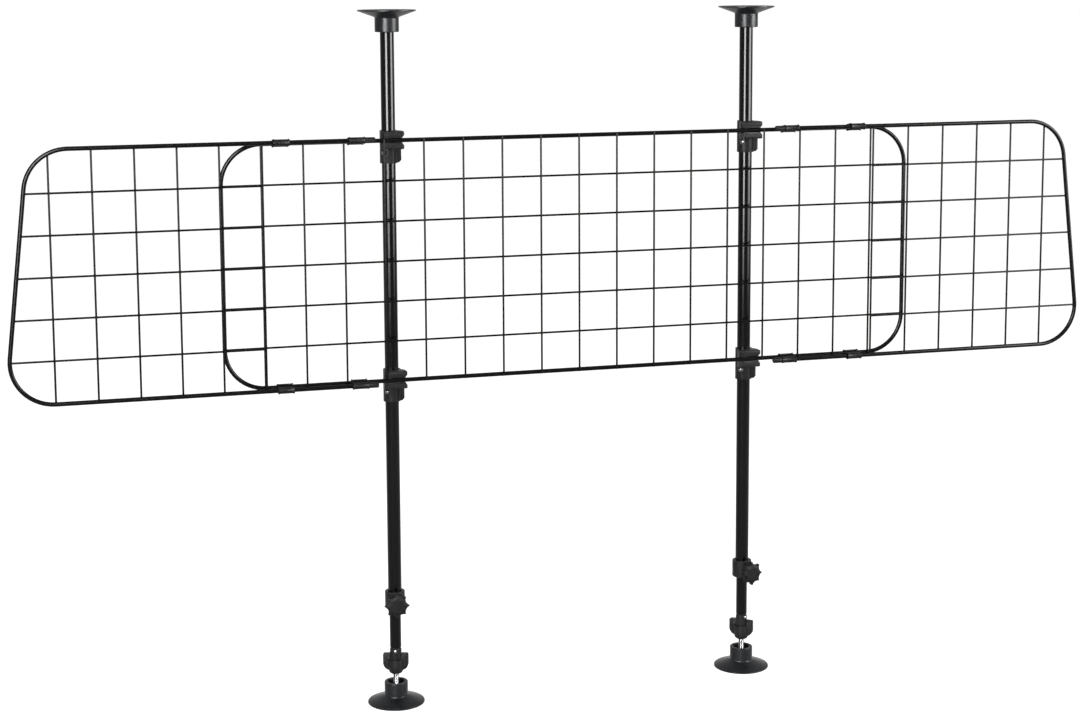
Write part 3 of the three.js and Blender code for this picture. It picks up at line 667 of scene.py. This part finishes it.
# The real grain of about 0.15 mm is drawn at 0.5 mm, so that it shows
nylon_colours = ("#0f0f10", "#161617")
clip_nylon = moulded_nylon(
    "moulded_nylon_clips", nylon_colours,
    gloss_level=0.06, roughness=(0.36, 0.48), grain_mm=0.5, grain_strength=0.25,
)
rail_clip = smoothed(skinned([clip_section(*station) for station in clip_stations]), 50)
levels = {"top": 1, "bottom": -1}


def show_copies(name, mesh, places, finish, node, step=Matrix()):
    """Shows a shape at named places, moved on by a step that they share."""
    for where, place in places.items():
        show_piece(f"{name}_{where}", mesh, place @ step, finish, f"{node}_{where}")


clip_places = {}
for side, hand in hands.items():
    for level, sign in levels.items():
        for name, distance in clip_distances.items():
            spot = (hand * distance, 0, sign * centre_half_height)
            place = centre_place @ Matrix.Translation(spot)
            if sign < 0:
                place = place @ Matrix.Rotation(math.pi, 4, "Y")
            clip_places[f"{level}_{name}_{side}"] = place
show_copies("hook_clip", rail_clip, clip_places, clip_nylon, "rail_clip")

# Push-on caps of soft black plastic close the inner ends of the side rails. They meet the
# inner clips when a side panel is pulled right out.
cap_start = 290.21
cap_length = 13.7
cap_radius = 4.06
cap_end_wall = 1.3
small_sides = 40
corner_steps = 4


def rounded(profile, closed):
    """A profile of radius, height and, at some corners, the fillet that rounds it."""
    points = []
    count = len(profile)
    for i, corner in enumerate(profile):
        here = Vector(corner[:2])
        if len(corner) < 3 or (not closed and i in (0, count - 1)):
            points.append(here)
            continue
        before = Vector(profile[i - 1][:2]) - here
        after = Vector(profile[(i + 1) % count][:2]) - here
        half = before.angle(after) / 2
        setback = min(corner[2] / math.tan(half), before.length * 0.49, after.length * 0.49)
        start = here + before.normalized() * setback
        end = here + after.normalized() * setback
        for step in range(corner_steps + 1):
            share = step / corner_steps
            points.append(start * (1 - share) ** 2 + here * 2 * share * (1 - share) + end * share ** 2)
    return points


def turned(profile, sides):
    """A profile turned about Z. One that never meets the axis closes on itself."""
    closed = min(corner[0] for corner in profile) > 0
    rings = []
    for radius, height in rounded(profile, closed):
        if radius < 1e-6:
            rings.append([Vector((0, 0, height))])
            continue
        angles = [2 * math.pi * k / sides for k in range(sides)]
        rings.append([Vector((radius * math.cos(a), radius * math.sin(a), height)) for a in angles])
    return smoothed(skinned(rings, closed))


cap_profile = [
    (0, 0),
    (3.0, 0, 0.6),
    (cap_radius, 1.1, 0.6),
    (cap_radius, cap_length, 0.3),
    (3.4, cap_length, 0.2),
    (3.3, cap_end_wall),
    (0, cap_end_wall),
]
rail_cap = turned(cap_profile, small_sides)
cap_places = {}
for side, hand in hands.items():
    for level, sign in levels.items():
        spot = (hand * cap_start, side_plane, panel_height + sign * side_half_height)
        turn = Matrix.Rotation(hand * math.pi / 2, 4, "Y")
        cap_places[f"{level}_{side}"] = Matrix.Translation(spot) @ turn
show_copies("push_cap", rail_cap, cap_places, clip_nylon, "rail_cap")

# The outer tubes are 19 mm welded steel tube, cut square, deburred and coated black. The
# 16 mm inner tubes slide in them and stay in the same finish.
tube_sides = 72


def extent(node):
    """The lowest and highest corner of a CAD node at rest, in millimetres."""
    low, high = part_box(node)
    return low / MM, high / MM


pole_x = {side: sum(corner.x for corner in extent(f"outer_tube_{side}")) / 2 for side in hands}
pole_place = {side: Matrix.Translation((pole_x[side], 0, 0)) for side in hands}
tube_coat = powder_coat(
    "powder_coated_steel_tube", ("#050506", "#09090a"),
    gloss_level=0.11, roughness=(0.11, 0.18), ripple_mm=2.2, ripple_strength=0.035,
)
# Each tube: the radius of its bore and of its outside
tube_radii = {"outer": (8.3, 9.5), "inner": (6.8, 8.0)}
for tube, (bore, radius) in tube_radii.items():
    low, high = extent(f"{tube}_tube_left")
    profile = [
        (bore, low.z, 0.2),
        (radius, low.z, 0.4),
        (radius, high.z, 0.4),
        (bore, high.z, 0.2),
    ]
    mesh = turned(profile, tube_sides)
    name = f"{tube}_pole_tube"
    show_copies(name, mesh, pole_place, tube_coat, f"{tube}_tube")

# Four clamps of glass-filled nylon hold the centre rails on the poles. Each is one moulding:
# a split sleeve round the tube with an ear and a screw boss, and jaws with a seat for the
# rail. All four come from one tool and are only turned round the pole on assembly.
rail_standoff = 20
clamp_left = -14
clamp_right = 18
clamp_top = 12.5
clamp_bottom = -32.5
jaw_tip = -22.17
jaw_waist = -15
jaw_root = -3
jaw_round = 2.5
jaw_chamfer = 3.5
nose_round = 3
sleeve_radius = 12
tube_seat_radius = 9.8
rail_seat_radius = 3.3
split_left = 6
split_right = 7.2
scoop_radius = 8.75
scoop_middle = 23.25
scoop_front = -32
overrun = 1
round_sides = 72


def arc(middle, radius, start, end, steps=8):
    """Points on an arc in a plane, from one angle in degrees to another."""
    angles = [math.radians(start + (end - start) * step / steps) for step in range(steps + 1)]
    return [(middle[0] + radius * math.cos(a), middle[1] + radius * math.sin(a)) for a in angles]


def prism(outline, start, end, across):
    """An outline run along one axis: across is 0, 1 or 2 for X, Y or Z."""
    rings = []
    for distance in (start, end):
        ring = []
        for point in outline:
            corner = list(point)
            corner.insert(across, distance)
            ring.append(Vector(corner))
        rings.append(ring)
    return skinned(rings)


def rod_shape(radius, start, end, across=2, middle=(0, 0)):
    """A round bar along one axis, through a point of the plane across it."""
    return prism(arc(middle, radius, 0, 360, round_sides)[:-1], start, end, across)


def moved(mesh, place):
    """The same mesh, placed."""
    mesh.transform(place)
    return mesh


def shaped(mesh, operation, *tools):
    """A mesh joined with others, cut by them, or kept only where they meet."""
    for tool in tools:
        body = new_object("body", mesh)
        cutter = new_object("cutter", tool)
        step = body.modifiers.new("step", "BOOLEAN")
        step.operation = operation
        step.object = cutter
        step.solver = "EXACT"
        mesh = plain_mesh(body)
        bpy.data.objects.remove(cutter)
    return mesh


def softened(mesh, width, sharp_degrees=32):
    """A moulding with its sharp edges rounded as a tool leaves them."""
    body = new_object("body", mesh)
    weld = body.modifiers.new("weld", "WELD")
    weld.merge_threshold = 0.01
    edge = body.modifiers.new("edge", "BEVEL")
    edge.width = width
    edge.segments = 3
    edge.limit_method = "ANGLE"
    edge.angle_limit = math.radians(sharp_degrees)
    edge.miter_outer = "MITER_ARC"
    even = body.modifiers.new("even", "WEIGHTED_NORMAL")
    even.keep_sharp = True
    return smoothed(plain_mesh(body), 50)


jaw_side = [
    (jaw_root, -clamp_top),
    (jaw_root, clamp_top),
    *arc((jaw_tip + nose_round, clamp_top - nose_round), nose_round, 90, 180),
    *arc((jaw_tip + nose_round, nose_round - clamp_top), nose_round, 180, 270),
]
jaw_plan = [
    (-11, jaw_root),
    (clamp_left, jaw_waist),
    (clamp_left, jaw_tip + jaw_chamfer),
    (clamp_left + jaw_chamfer, jaw_tip),
    *arc((clamp_right - jaw_round, jaw_tip + jaw_round), jaw_round, -90, 0),
    (clamp_right, jaw_waist),
    (11, jaw_root),
]
ear_outline = [(6, -31.5), (12.8, -31.5), (16, -28.3), (16, -11.5), (6, -11.5)]
ear_front = -8
screw_drop = -17.5
screw_turn = Matrix.Rotation(math.radians(-40), 4, "Z")
screw_boss_radius = 4
screw_boss_front = -14
screw_hole_radius = 1.8
lip_round = 2.6
jaw_front = [
    (clamp_left, -clamp_top),
    *arc((clamp_right - lip_round, lip_round - clamp_top), lip_round, -90, 0),
    *arc((clamp_right - lip_round, clamp_top - lip_round), lip_round, 0, 90),
    (clamp_left, clamp_top),
]
channel_left = -5
channel_half_height = 5.8
channel_floor = jaw_tip + 1.5
channel = [
    (clamp_right + overrun, -channel_half_height),
    (clamp_right + overrun, channel_half_height),
    *arc((channel_left + channel_half_height, 0), channel_half_height, 90, 270),
]
jaws = shaped(
    prism(jaw_side, clamp_left, clamp_right, 0),
    "INTERSECT",
    prism(jaw_plan, -clamp_top, clamp_top, 2),
    prism(jaw_front, jaw_tip, jaw_root, 1),
)
screw_boss = rod_shape(screw_boss_radius, screw_boss_front, -4, 1, (0, screw_drop))
screw_hole = rod_shape(screw_hole_radius, screw_boss_front - overrun, -4, 1, (0, screw_drop))
clamp = shaped(
    rod_shape(sleeve_radius, clamp_bottom, clamp_top),
    "UNION",
    jaws,
    prism(ear_outline, ear_front, 0, 1),
    moved(screw_boss, screw_turn),
)
rail_run = (clamp_left - overrun, clamp_right + overrun)
split_outline = oblong(split_left, split_right, clamp_bottom - overrun, -clamp_top)
clamp = shaped(
    clamp,
    "DIFFERENCE",
    rod_shape(tube_seat_radius, clamp_bottom - overrun, clamp_top + overrun),
    rod_shape(rail_seat_radius, *rail_run, 0, (-rail_standoff, 0)),
    rod_shape(scoop_radius, scoop_front, jaw_root, 1, (scoop_middle, 0)),
    prism(channel, jaw_tip - overrun, channel_floor, 1),
    prism(split_outline, -sleeve_radius - overrun, -3.8, 1),
    moved(screw_hole, screw_turn),
)
clamp_moulding = softened(clamp, width=0.55)
clamp_nylon = moulded_nylon(
    "glass_filled_nylon_clamps", ("#141415", "#1e1e1f"),
    gloss_level=0.08, roughness=(0.3, 0.44), grain_mm=0.5, grain_strength=0.3,
)


def lifted(height):
    """A step straight up, in millimetres."""
    return Matrix.Translation((0, 0, height))


clamp_places = {
    f"{level}_{side}": pole_place[side] @ lifted(panel_height + sign * centre_half_height)
    for side in hands
    for level, sign in (("upper", 1), ("lower", -1))
}
show_copies(
    "clamp_moulding", clamp_moulding, clamp_places, clamp_nylon, "pole_clamp"
)

# A zinc plated pan head screw with a cross recess closes the split sleeve of each clamp. It
# sits in the boss on the sleeve's left front.
facing_front = Matrix.Rotation(math.pi / 2, 4, "X")
screw_start = 10.1
head_start = 14.3
head_top = 16.1
head_radius = 2.8
shank_radius = 1.5
recess_floor = head_top - 0.8
screw_profile = [
    (0, screw_start),
    (shank_radius, screw_start, 0.3),
    (shank_radius, head_start),
    (head_radius, head_start, 0.25),
    (head_radius, head_start + 0.9, 0.6),
    (1.7, head_top, 0.9),
    (0, head_top),
]
recess_bars = [
    prism(oblong(-reach, reach, -half, half), recess_floor, head_top + overrun, 2)
    for reach, half in ((1.4, 0.3), (0.3, 1.4))
]
pan_screw = smoothed(shaped(turned(screw_profile, small_sides), "DIFFERENCE", *recess_bars))


# Bright zinc plate on steel, passivated clear: a cool grey metal with a soft shine that
# drifts a little towards blue and yellow.
def zinc_plate(name, colours, roughness):
    """Passivated zinc plate with a patchy tint and the fine matt of its crystals."""
    crystals = (0.4, {"Detail": 2})
    noises = [(5, {"Detail": 3}), crystals, crystals]
    return varied_finish(
        name, {"Metallic": 1}, colours, roughness, noises,
        strength=0.15, depth=0.0001, spread=(0, 1),
    )


zinc_fixing = zinc_plate("zinc_plated_steel", ("#6b7076", "#807e78"), roughness=(0.16, 0.3))
zinc_head = zinc_plate("zinc_plated_heads", ("#565b60", "#6a6863"), roughness=(0.07, 0.15))
screw_step = screw_turn @ lifted(screw_drop) @ facing_front
show_copies(
    "pan_screw", pan_screw, clamp_places, zinc_head, "clamp_screw", screw_step
)

# A nylon cap closes the top of each outer tube. The upper foot is pressed on its stud.
top_cap_rim = 945.7
top_cap_seat = 958.7
top_cap_shoulder = 961.7
top_cap_stud = 966.7
top_cap_radius = 11.7
top_cap_profile = [
    (tube_seat_radius, top_cap_rim, 0.2),
    (top_cap_radius, top_cap_rim, 0.5),
    (top_cap_radius, top_cap_shoulder, 0.6),
    (4, top_cap_shoulder),
    (4, top_cap_stud, 0.4),
    (0, top_cap_stud),
    (0, top_cap_seat),
    (tube_seat_radius, top_cap_seat),
]
top_cap = turned(top_cap_profile, round_sides)
show_copies("tube_top_cap", top_cap, pole_place, clamp_nylon, "top_cap")

# Four suction feet of black rubber, compression moulded: a shallow cone with a flat rim, a
# hollow underside and an open hub. The upper two are the same foot turned over.
foot_sides = 112
foot_radius = 40
foot_hub_radius = 16.5
foot_hub_top = 30
foot_hollow_radius = 12
nut_seat = 13
screw_bore = 4.3
guard_height = 975
cup_inner = 37
cup_depth = 5
cup_steps = 8
cup_shares = [step / cup_steps for step in range(1, cup_steps)]
foot_profile = [
    (0, cup_depth),
    *[(cup_inner * share, cup_depth * (1 - share ** 3)) for share in cup_shares],
    (cup_inner, 0, 0.4),
    (foot_radius, 0, 0.5),
    (foot_radius, 1.6, 0.7),
    (foot_hub_radius, 10, 2.4),
    (foot_hub_radius, foot_hub_top, 1.0),
    (foot_hollow_radius, foot_hub_top, 0.9),
    (foot_hollow_radius, nut_seat, 0.6),
    (screw_bore, nut_seat, 0.3),
    (screw_bore, 8),
    (0, 8),
]
suction_foot = turned(foot_profile, foot_sides)

# Natural rubber filled with carbon black and pressed in a polished tool: a dark cool grey,
# softer and duller than the nylon, with a faint bloom on the surface and a skin of pores.
bloom = (16, {"Detail": 5, "Roughness": 0.6})
pores = (0.7, {"Detail": 2})
foot_rubber = varied_finish(
    "pressed_black_rubber",
    {"IOR": 1.52, "Specular IOR Level": 0.11},
    ("#121315", "#1c1e21"),
    roughness=(0.26, 0.36),
    noises=[bloom, bloom, pores],
    strength=0.12,
)
upside_down = lifted(guard_height) @ Matrix.Rotation(math.pi, 4, "X")
foot_places = {
    f"{level}_{side}": pole_place[side] @ step
    for side in hands
    for level, step in (("top", upside_down), ("bottom", Matrix()))
}
show_copies(
    "rubber_foot", suction_foot, foot_places, foot_rubber, "suction_foot"
)

# A nylon ferrule is pushed into the lower end of each inner tube and held by one rivet. It
# bears on the wing nut and guides the levelling screw.
ferrule_foot = 53.3
ferrule_shoulder = 77.2
tube_end = 79.7
ferrule_top = 100
ferrule_profile = [
    (screw_bore, ferrule_foot, 0.3),
    (8.2, ferrule_foot, 0.5),
    (8.2, ferrule_shoulder, 0.3),
    (7.4, ferrule_shoulder + 0.8),
    (7.4, tube_end),
    (6.5, tube_end),
    (6.5, ferrule_top, 0.4),
    (screw_bore, ferrule_top, 0.3),
]
end_ferrule = turned(ferrule_profile, round_sides)
rivet_height = 75
rivet_profile = [
    (0, 5.2),
    (1.3, 5.2, 0.2),
    (1.3, 8.5),
    (2.1, 8.5, 0.15),
    (2.1, 8.9, 0.3),
    (1.0, 9.3, 0.6),
    (0, 9.3),
]
dome_rivet = turned(rivet_profile, small_sides)


def turned_places(turns):
    """The places of both poles, turned about them by angles in degrees."""
    return {
        side: pole_place[side] @ Matrix.Rotation(math.radians(degrees), 4, "Z")
        for side, degrees in turns.items()
    }


rivet_step = lifted(rivet_height) @ facing_front
for side, degrees in {"left": -14, "right": 20}.items():
    place = turned_places({side: degrees})
    show_copies("end_ferrule", end_ferrule, place, clamp_nylon, "tube_ferrule")
    show_copies("dome_rivet", dome_rivet, place, zinc_head, "ferrule_rivet", rivet_step)

# The lock collar is a nylon moulding at the lower end of each outer tube: the tube stands in
# it on a lip, and a boss on its front carries the threaded stud of the star knob.
collar_bottom = 137
collar_seat = 141
collar_top = 162
collar_radius = 14
collar_bore = 8.3
collar_profile = [
    (0, collar_bottom),
    (12.5, collar_bottom, 0.6),
    (collar_radius, collar_bottom + 1.5, 0.8),
    (collar_radius, collar_top, 0.7),
    (0, collar_top),
]
knob_height = 147
boss_radius = 7
boss_face = -17.5
boss_root = -5
stud_bore = 3.3
stud_axis = (0, knob_height)
boss = rod_shape(boss_radius, boss_face, boss_root, 1, stud_axis)
collar = shaped(
    shaped(turned(collar_profile, round_sides), "UNION", boss),
    "DIFFERENCE",
    rod_shape(collar_bore, collar_bottom - overrun, collar_top + overrun),
    rod_shape(tube_seat_radius, collar_seat, collar_top + overrun),
    rod_shape(stud_bore, boss_face - overrun, boss_root, 1, stud_axis),
)
collar_moulding = softened(collar, width=0.5, sharp_degrees=40)
knob_places = turned_places({"left": -5, "right": 14})
show_copies(
    "collar_moulding", collar_moulding, knob_places, clamp_nylon, "lock_collar"
)

# The star knob is moulded round its stud: a hub, and a head with eight pointed lobes and a
# slightly domed face. Turning it presses the stud on the inner tube.
knob_radius = 18
knob_lobes = 8
scallop_depth = 3
lobe_points = 14
tip_radius = 17.7
tip_softness = 3.5
knob_back = 20.3
knob_front = 29.3
stud_hole_end = 28.7
dish_middle = 29.05


def lobed_radius(angle):
    """The knob's outline: concave scallops that meet in softened points."""
    lobe = 2 * math.pi / knob_lobes
    half_chord = knob_radius * math.sin(lobe / 2)
    scallop = (half_chord ** 2 + scallop_depth ** 2) / (2 * scallop_depth)
    middle = knob_radius * math.cos(lobe / 2) - scallop_depth + scallop
    off = angle % lobe - lobe / 2
    hollow = middle * math.cos(off) - math.sqrt(scallop ** 2 - (middle * math.sin(off)) ** 2)
    terms = (math.exp(-tip_softness * hollow), math.exp(-tip_softness * tip_radius))
    return -math.log(sum(terms)) / tip_softness


# Rings of the knob: height, radius of a round, share of the star outline, and its inset
knob_rings = [
    (stud_hole_end, stud_bore, 0, 0),
    (17.8, stud_bore, 0, 0),
    (17.8, 7.1, 0, 0),
    (18.0, 7.4, 0, 0),
    (18.3, 7.5, 0, 0),
    (knob_back - 0.4, 7.5, 0, 0),
    (knob_back - 0.1, 7.7, 0, 0),
    (knob_back, 8.2, 0, 0),
    (knob_back, 0, 1, 1.4),
    (20.45, 0, 1, 0.8),
    (20.8, 0, 1, 0.3),
    (21.4, 0, 1, 0),
    (26.4, 0, 1, 0),
    (27.2, 0, 1, 0.25),
    (27.9, 0, 1, 0.9),
    (28.3, 0, 1, 1.8),
    (28.6, 11.5, 0.65, 2.6),
    (28.95, 10, 0.3, 2.6),
    (29.2, 8.6, 0, 0),
    (knob_front, 7.4, 0, 0),
    (29.2, 7.1, 0, 0),
    (29.0, 6.95, 0, 0),
    (29.0, 6.5, 0, 0),
]
rings = [[Vector((0, 0, stud_hole_end))]]
for height, round_radius, star_share, inset in knob_rings:
    ring = []
    for k in range(knob_lobes * lobe_points):
        angle = 2 * math.pi * k / (knob_lobes * lobe_points)
        star = lobed_radius(angle) - inset
        radius = star_share * star + (1 - star_share) * round_radius
        ring.append(Vector((radius * math.cos(angle), radius * math.sin(angle), height)))
    rings.append(ring)
rings.append([Vector((0, 0, dish_middle))])
star_knob = smoothed(skinned(rings), 40)
knob_nylon = moulded_nylon(
    "moulded_nylon_knobs", nylon_colours,
    gloss_level=0.05, roughness=(0.44, 0.58), grain_mm=0.6, grain_strength=0.4,
)
knob_step = lifted(knob_height) @ facing_front
show_copies(
    "knob_moulding", star_knob, knob_places, knob_nylon, "star_knob", knob_step
)

# The studs of the knobs and the levelling screws under the poles are steel, with a thread
# that is rolled on and then zinc plated. Only the ends of the screws show.
thread_maker, wanted = new_tree(
    "rolled_thread",
    [
        ("Length", "Float", 20),
        ("Radius", "Float", 4),
        ("Depth", "Float", 0.6),
        ("Pitch", "Float", 1.25),
        ("Run Out", "Float", 1),
        ("Sides", "Int", 20),
        ("Rings", "Int", 100),
        ("Finish", "Material", None),
    ],
)
blank = add_node(
    thread_maker, "GeometryNodeMeshCylinder",
    {
        "Vertices": wanted["Sides"],
        "Side Segments": wanted["Rings"],
        "Radius": wanted["Radius"],
        "Depth": wanted["Length"],
    },
    fill_type="NGON",
)
point = add_node(thread_maker, "GeometryNodeInputPosition").outputs["Position"]
x, y, z = add_node(thread_maker, "ShaderNodeSeparateXYZ", {0: point}).outputs
# Each step: its name, its operation or the range of a ramp from 1 to 0, and what it takes.
# The cut is deepest between two crests and at the ends, where the thread runs out.
steps = [
    ("around", "ARCTAN2", "y", "x"),
    ("turns", "DIVIDE", "around", 2 * math.pi),
    ("climb", "DIVIDE", "z", "Pitch"),
    ("phase", "SUBTRACT", "climb", "turns"),
    ("flank", "PINGPONG", "phase", 0.5),
    ("crest", {"From Min": 0.06, "From Max": 0.44}, "flank"),
    ("half_length", "DIVIDE", "Length", 2),
    ("off_middle", "ABSOLUTE", "z"),
    ("to_end", "SUBTRACT", "half_length", "off_middle"),
    ("run_out", {"From Max": wanted["Run Out"]}, "to_end"),
    ("deepest", "MAXIMUM", "crest", "run_out"),
    ("cut", "MULTIPLY", "deepest", "Depth"),
    ("cut_share", "DIVIDE", "cut", "Radius"),
    ("kept_share", "SUBTRACT", 1, "cut_share"),
]
made = {"x": x, "y": y, "z": z, **dict(wanted.items())}
for name, what, *takes in steps:
    inputs = dict(enumerate(made.get(value, value) for value in takes))
    if isinstance(what, str):
        node = add_node(thread_maker, "ShaderNodeMath", inputs, operation=what)
    else:
        ramp = {"To Min": 1, "To Max": 0, **what}
        node = add_node(thread_maker, "ShaderNodeMapRange", {**inputs, **ramp})
    made[name] = node.outputs[0]
kept_share = made["kept_share"]
narrowing = add_node(
    thread_maker, "ShaderNodeCombineXYZ", {0: kept_share, 1: kept_share, 2: 1}
)
threaded = add_node(
    thread_maker, "ShaderNodeVectorMath", {0: point, 1: narrowing.outputs[0]},
    operation="MULTIPLY",
)
raised = add_node(thread_maker, "ShaderNodeCombineXYZ", {2: made["half_length"]})
rolled = add_node(
    thread_maker, "GeometryNodeSetPosition",
    {
        "Geometry": blank.outputs["Mesh"],
        "Position": threaded.outputs[0],
        "Offset": raised.outputs[0],
    },
)
finish_tree(thread_maker, rolled.outputs["Geometry"], wanted["Finish"])
rings_per_turn = 8


def threaded_bar(length, radius, depth, pitch):
    """A threaded bar from height 0 upwards."""
    values = {
        "Length": length,
        "Radius": radius,
        "Depth": depth,
        "Pitch": pitch,
        "Rings": round(length / pitch * rings_per_turn),
        "Finish": zinc_fixing,
    }
    return smoothed(grown(thread_maker, bpy.data.meshes.new("blank"), values), 60)


stud_start = 8.3
knob_stud = threaded_bar(length=20, radius=3, depth=0.5, pitch=1.0)
stud_step = knob_step @ lifted(stud_start)
show_copies(
    "threaded_stud", knob_stud, knob_places, zinc_fixing, "knob_stud", stud_step
)
screw_bottom = 8.3
levelling_screw = threaded_bar(length=118, radius=4, depth=0.62, pitch=1.25)
show_copies(
    "threaded_screw", levelling_screw, pole_place, zinc_fixing, "levelling_screw",
    lifted(screw_bottom),
)

# A hex nut under each pole holds the screw in the hub of the foot. Its corners are
# chamfered as bar-turned nuts are.
nut_bottom = 13.3
nut_top = 19.8
nut_half_flats = 6.5
nut_face_radius = 6.3
nut_chamfer = 0.8
nut_corner = nut_half_flats / math.cos(math.pi / 6)
blank_radius = nut_corner + 0.1
hexagon = arc((0, 0), nut_corner, 0, 360, 6)[:-1]
nut_blank = [
    (0, nut_bottom),
    (nut_face_radius, nut_bottom),
    (blank_radius, nut_bottom + nut_chamfer),
    (blank_radius, nut_top - nut_chamfer),
    (nut_face_radius, nut_top),
    (0, nut_top),
]
nut_bar = prism(hexagon, nut_bottom, nut_top, 2)
hex_nut = shaped(nut_bar, "INTERSECT", turned(nut_blank, round_sides))
nut_hole = rod_shape(screw_bore, nut_bottom - overrun, nut_top + overrun)
hex_nut = smoothed(shaped(hex_nut, "DIFFERENCE", nut_hole))
show_copies("chamfered_nut", hex_nut, pole_place, zinc_fixing, "hex_nut")

# The wing nut between ferrule and foot is a nylon moulding with a rounded nose, an open cup
# round the ferrule and two flat wings. Turning it sets the height of the foot.
wing_half = 18
wing_top = 29
wing_round = 2.5
wing_sweep = 11
sweep_height = 15
wing_half_thickness = 2.5
wing_corner = wing_half - wing_round
sweep_middle = wing_half - wing_sweep
wing_outline = [
    *arc((sweep_middle, sweep_height), wing_sweep, -90, 0),
    *arc((wing_corner, wing_top - wing_round), wing_round, 0, 90),
    *arc((-wing_corner, wing_top - wing_round), wing_round, 90, 180),
    *arc((-sweep_middle, sweep_height), wing_sweep, 180, 270),
]
hub_profile = [(0, 0), (7.3, 0, 1.5), (9.5, 1.8, 2.5), (10.5, 6.4, 2), (10.5, 20), (0, 20)]
cup_radius = 8.6
cup_floor = 11
wings = prism(wing_outline, -wing_half_thickness, wing_half_thickness, 1)
wing_nut = shaped(
    shaped(turned(hub_profile, round_sides), "UNION", wings),
    "DIFFERENCE",
    rod_shape(cup_radius, cup_floor, wing_top + overrun),
    rod_shape(screw_bore, -overrun, wing_top),
)
wing_moulding = softened(wing_nut, width=0.7, sharp_degrees=40)
wing_places = turned_places({"left": -16.5, "right": -41.5})
wing_bottom = 42
show_copies(
    "wing_moulding", wing_moulding, wing_places, clamp_nylon, "wing_nut",
    lifted(wing_bottom),
)
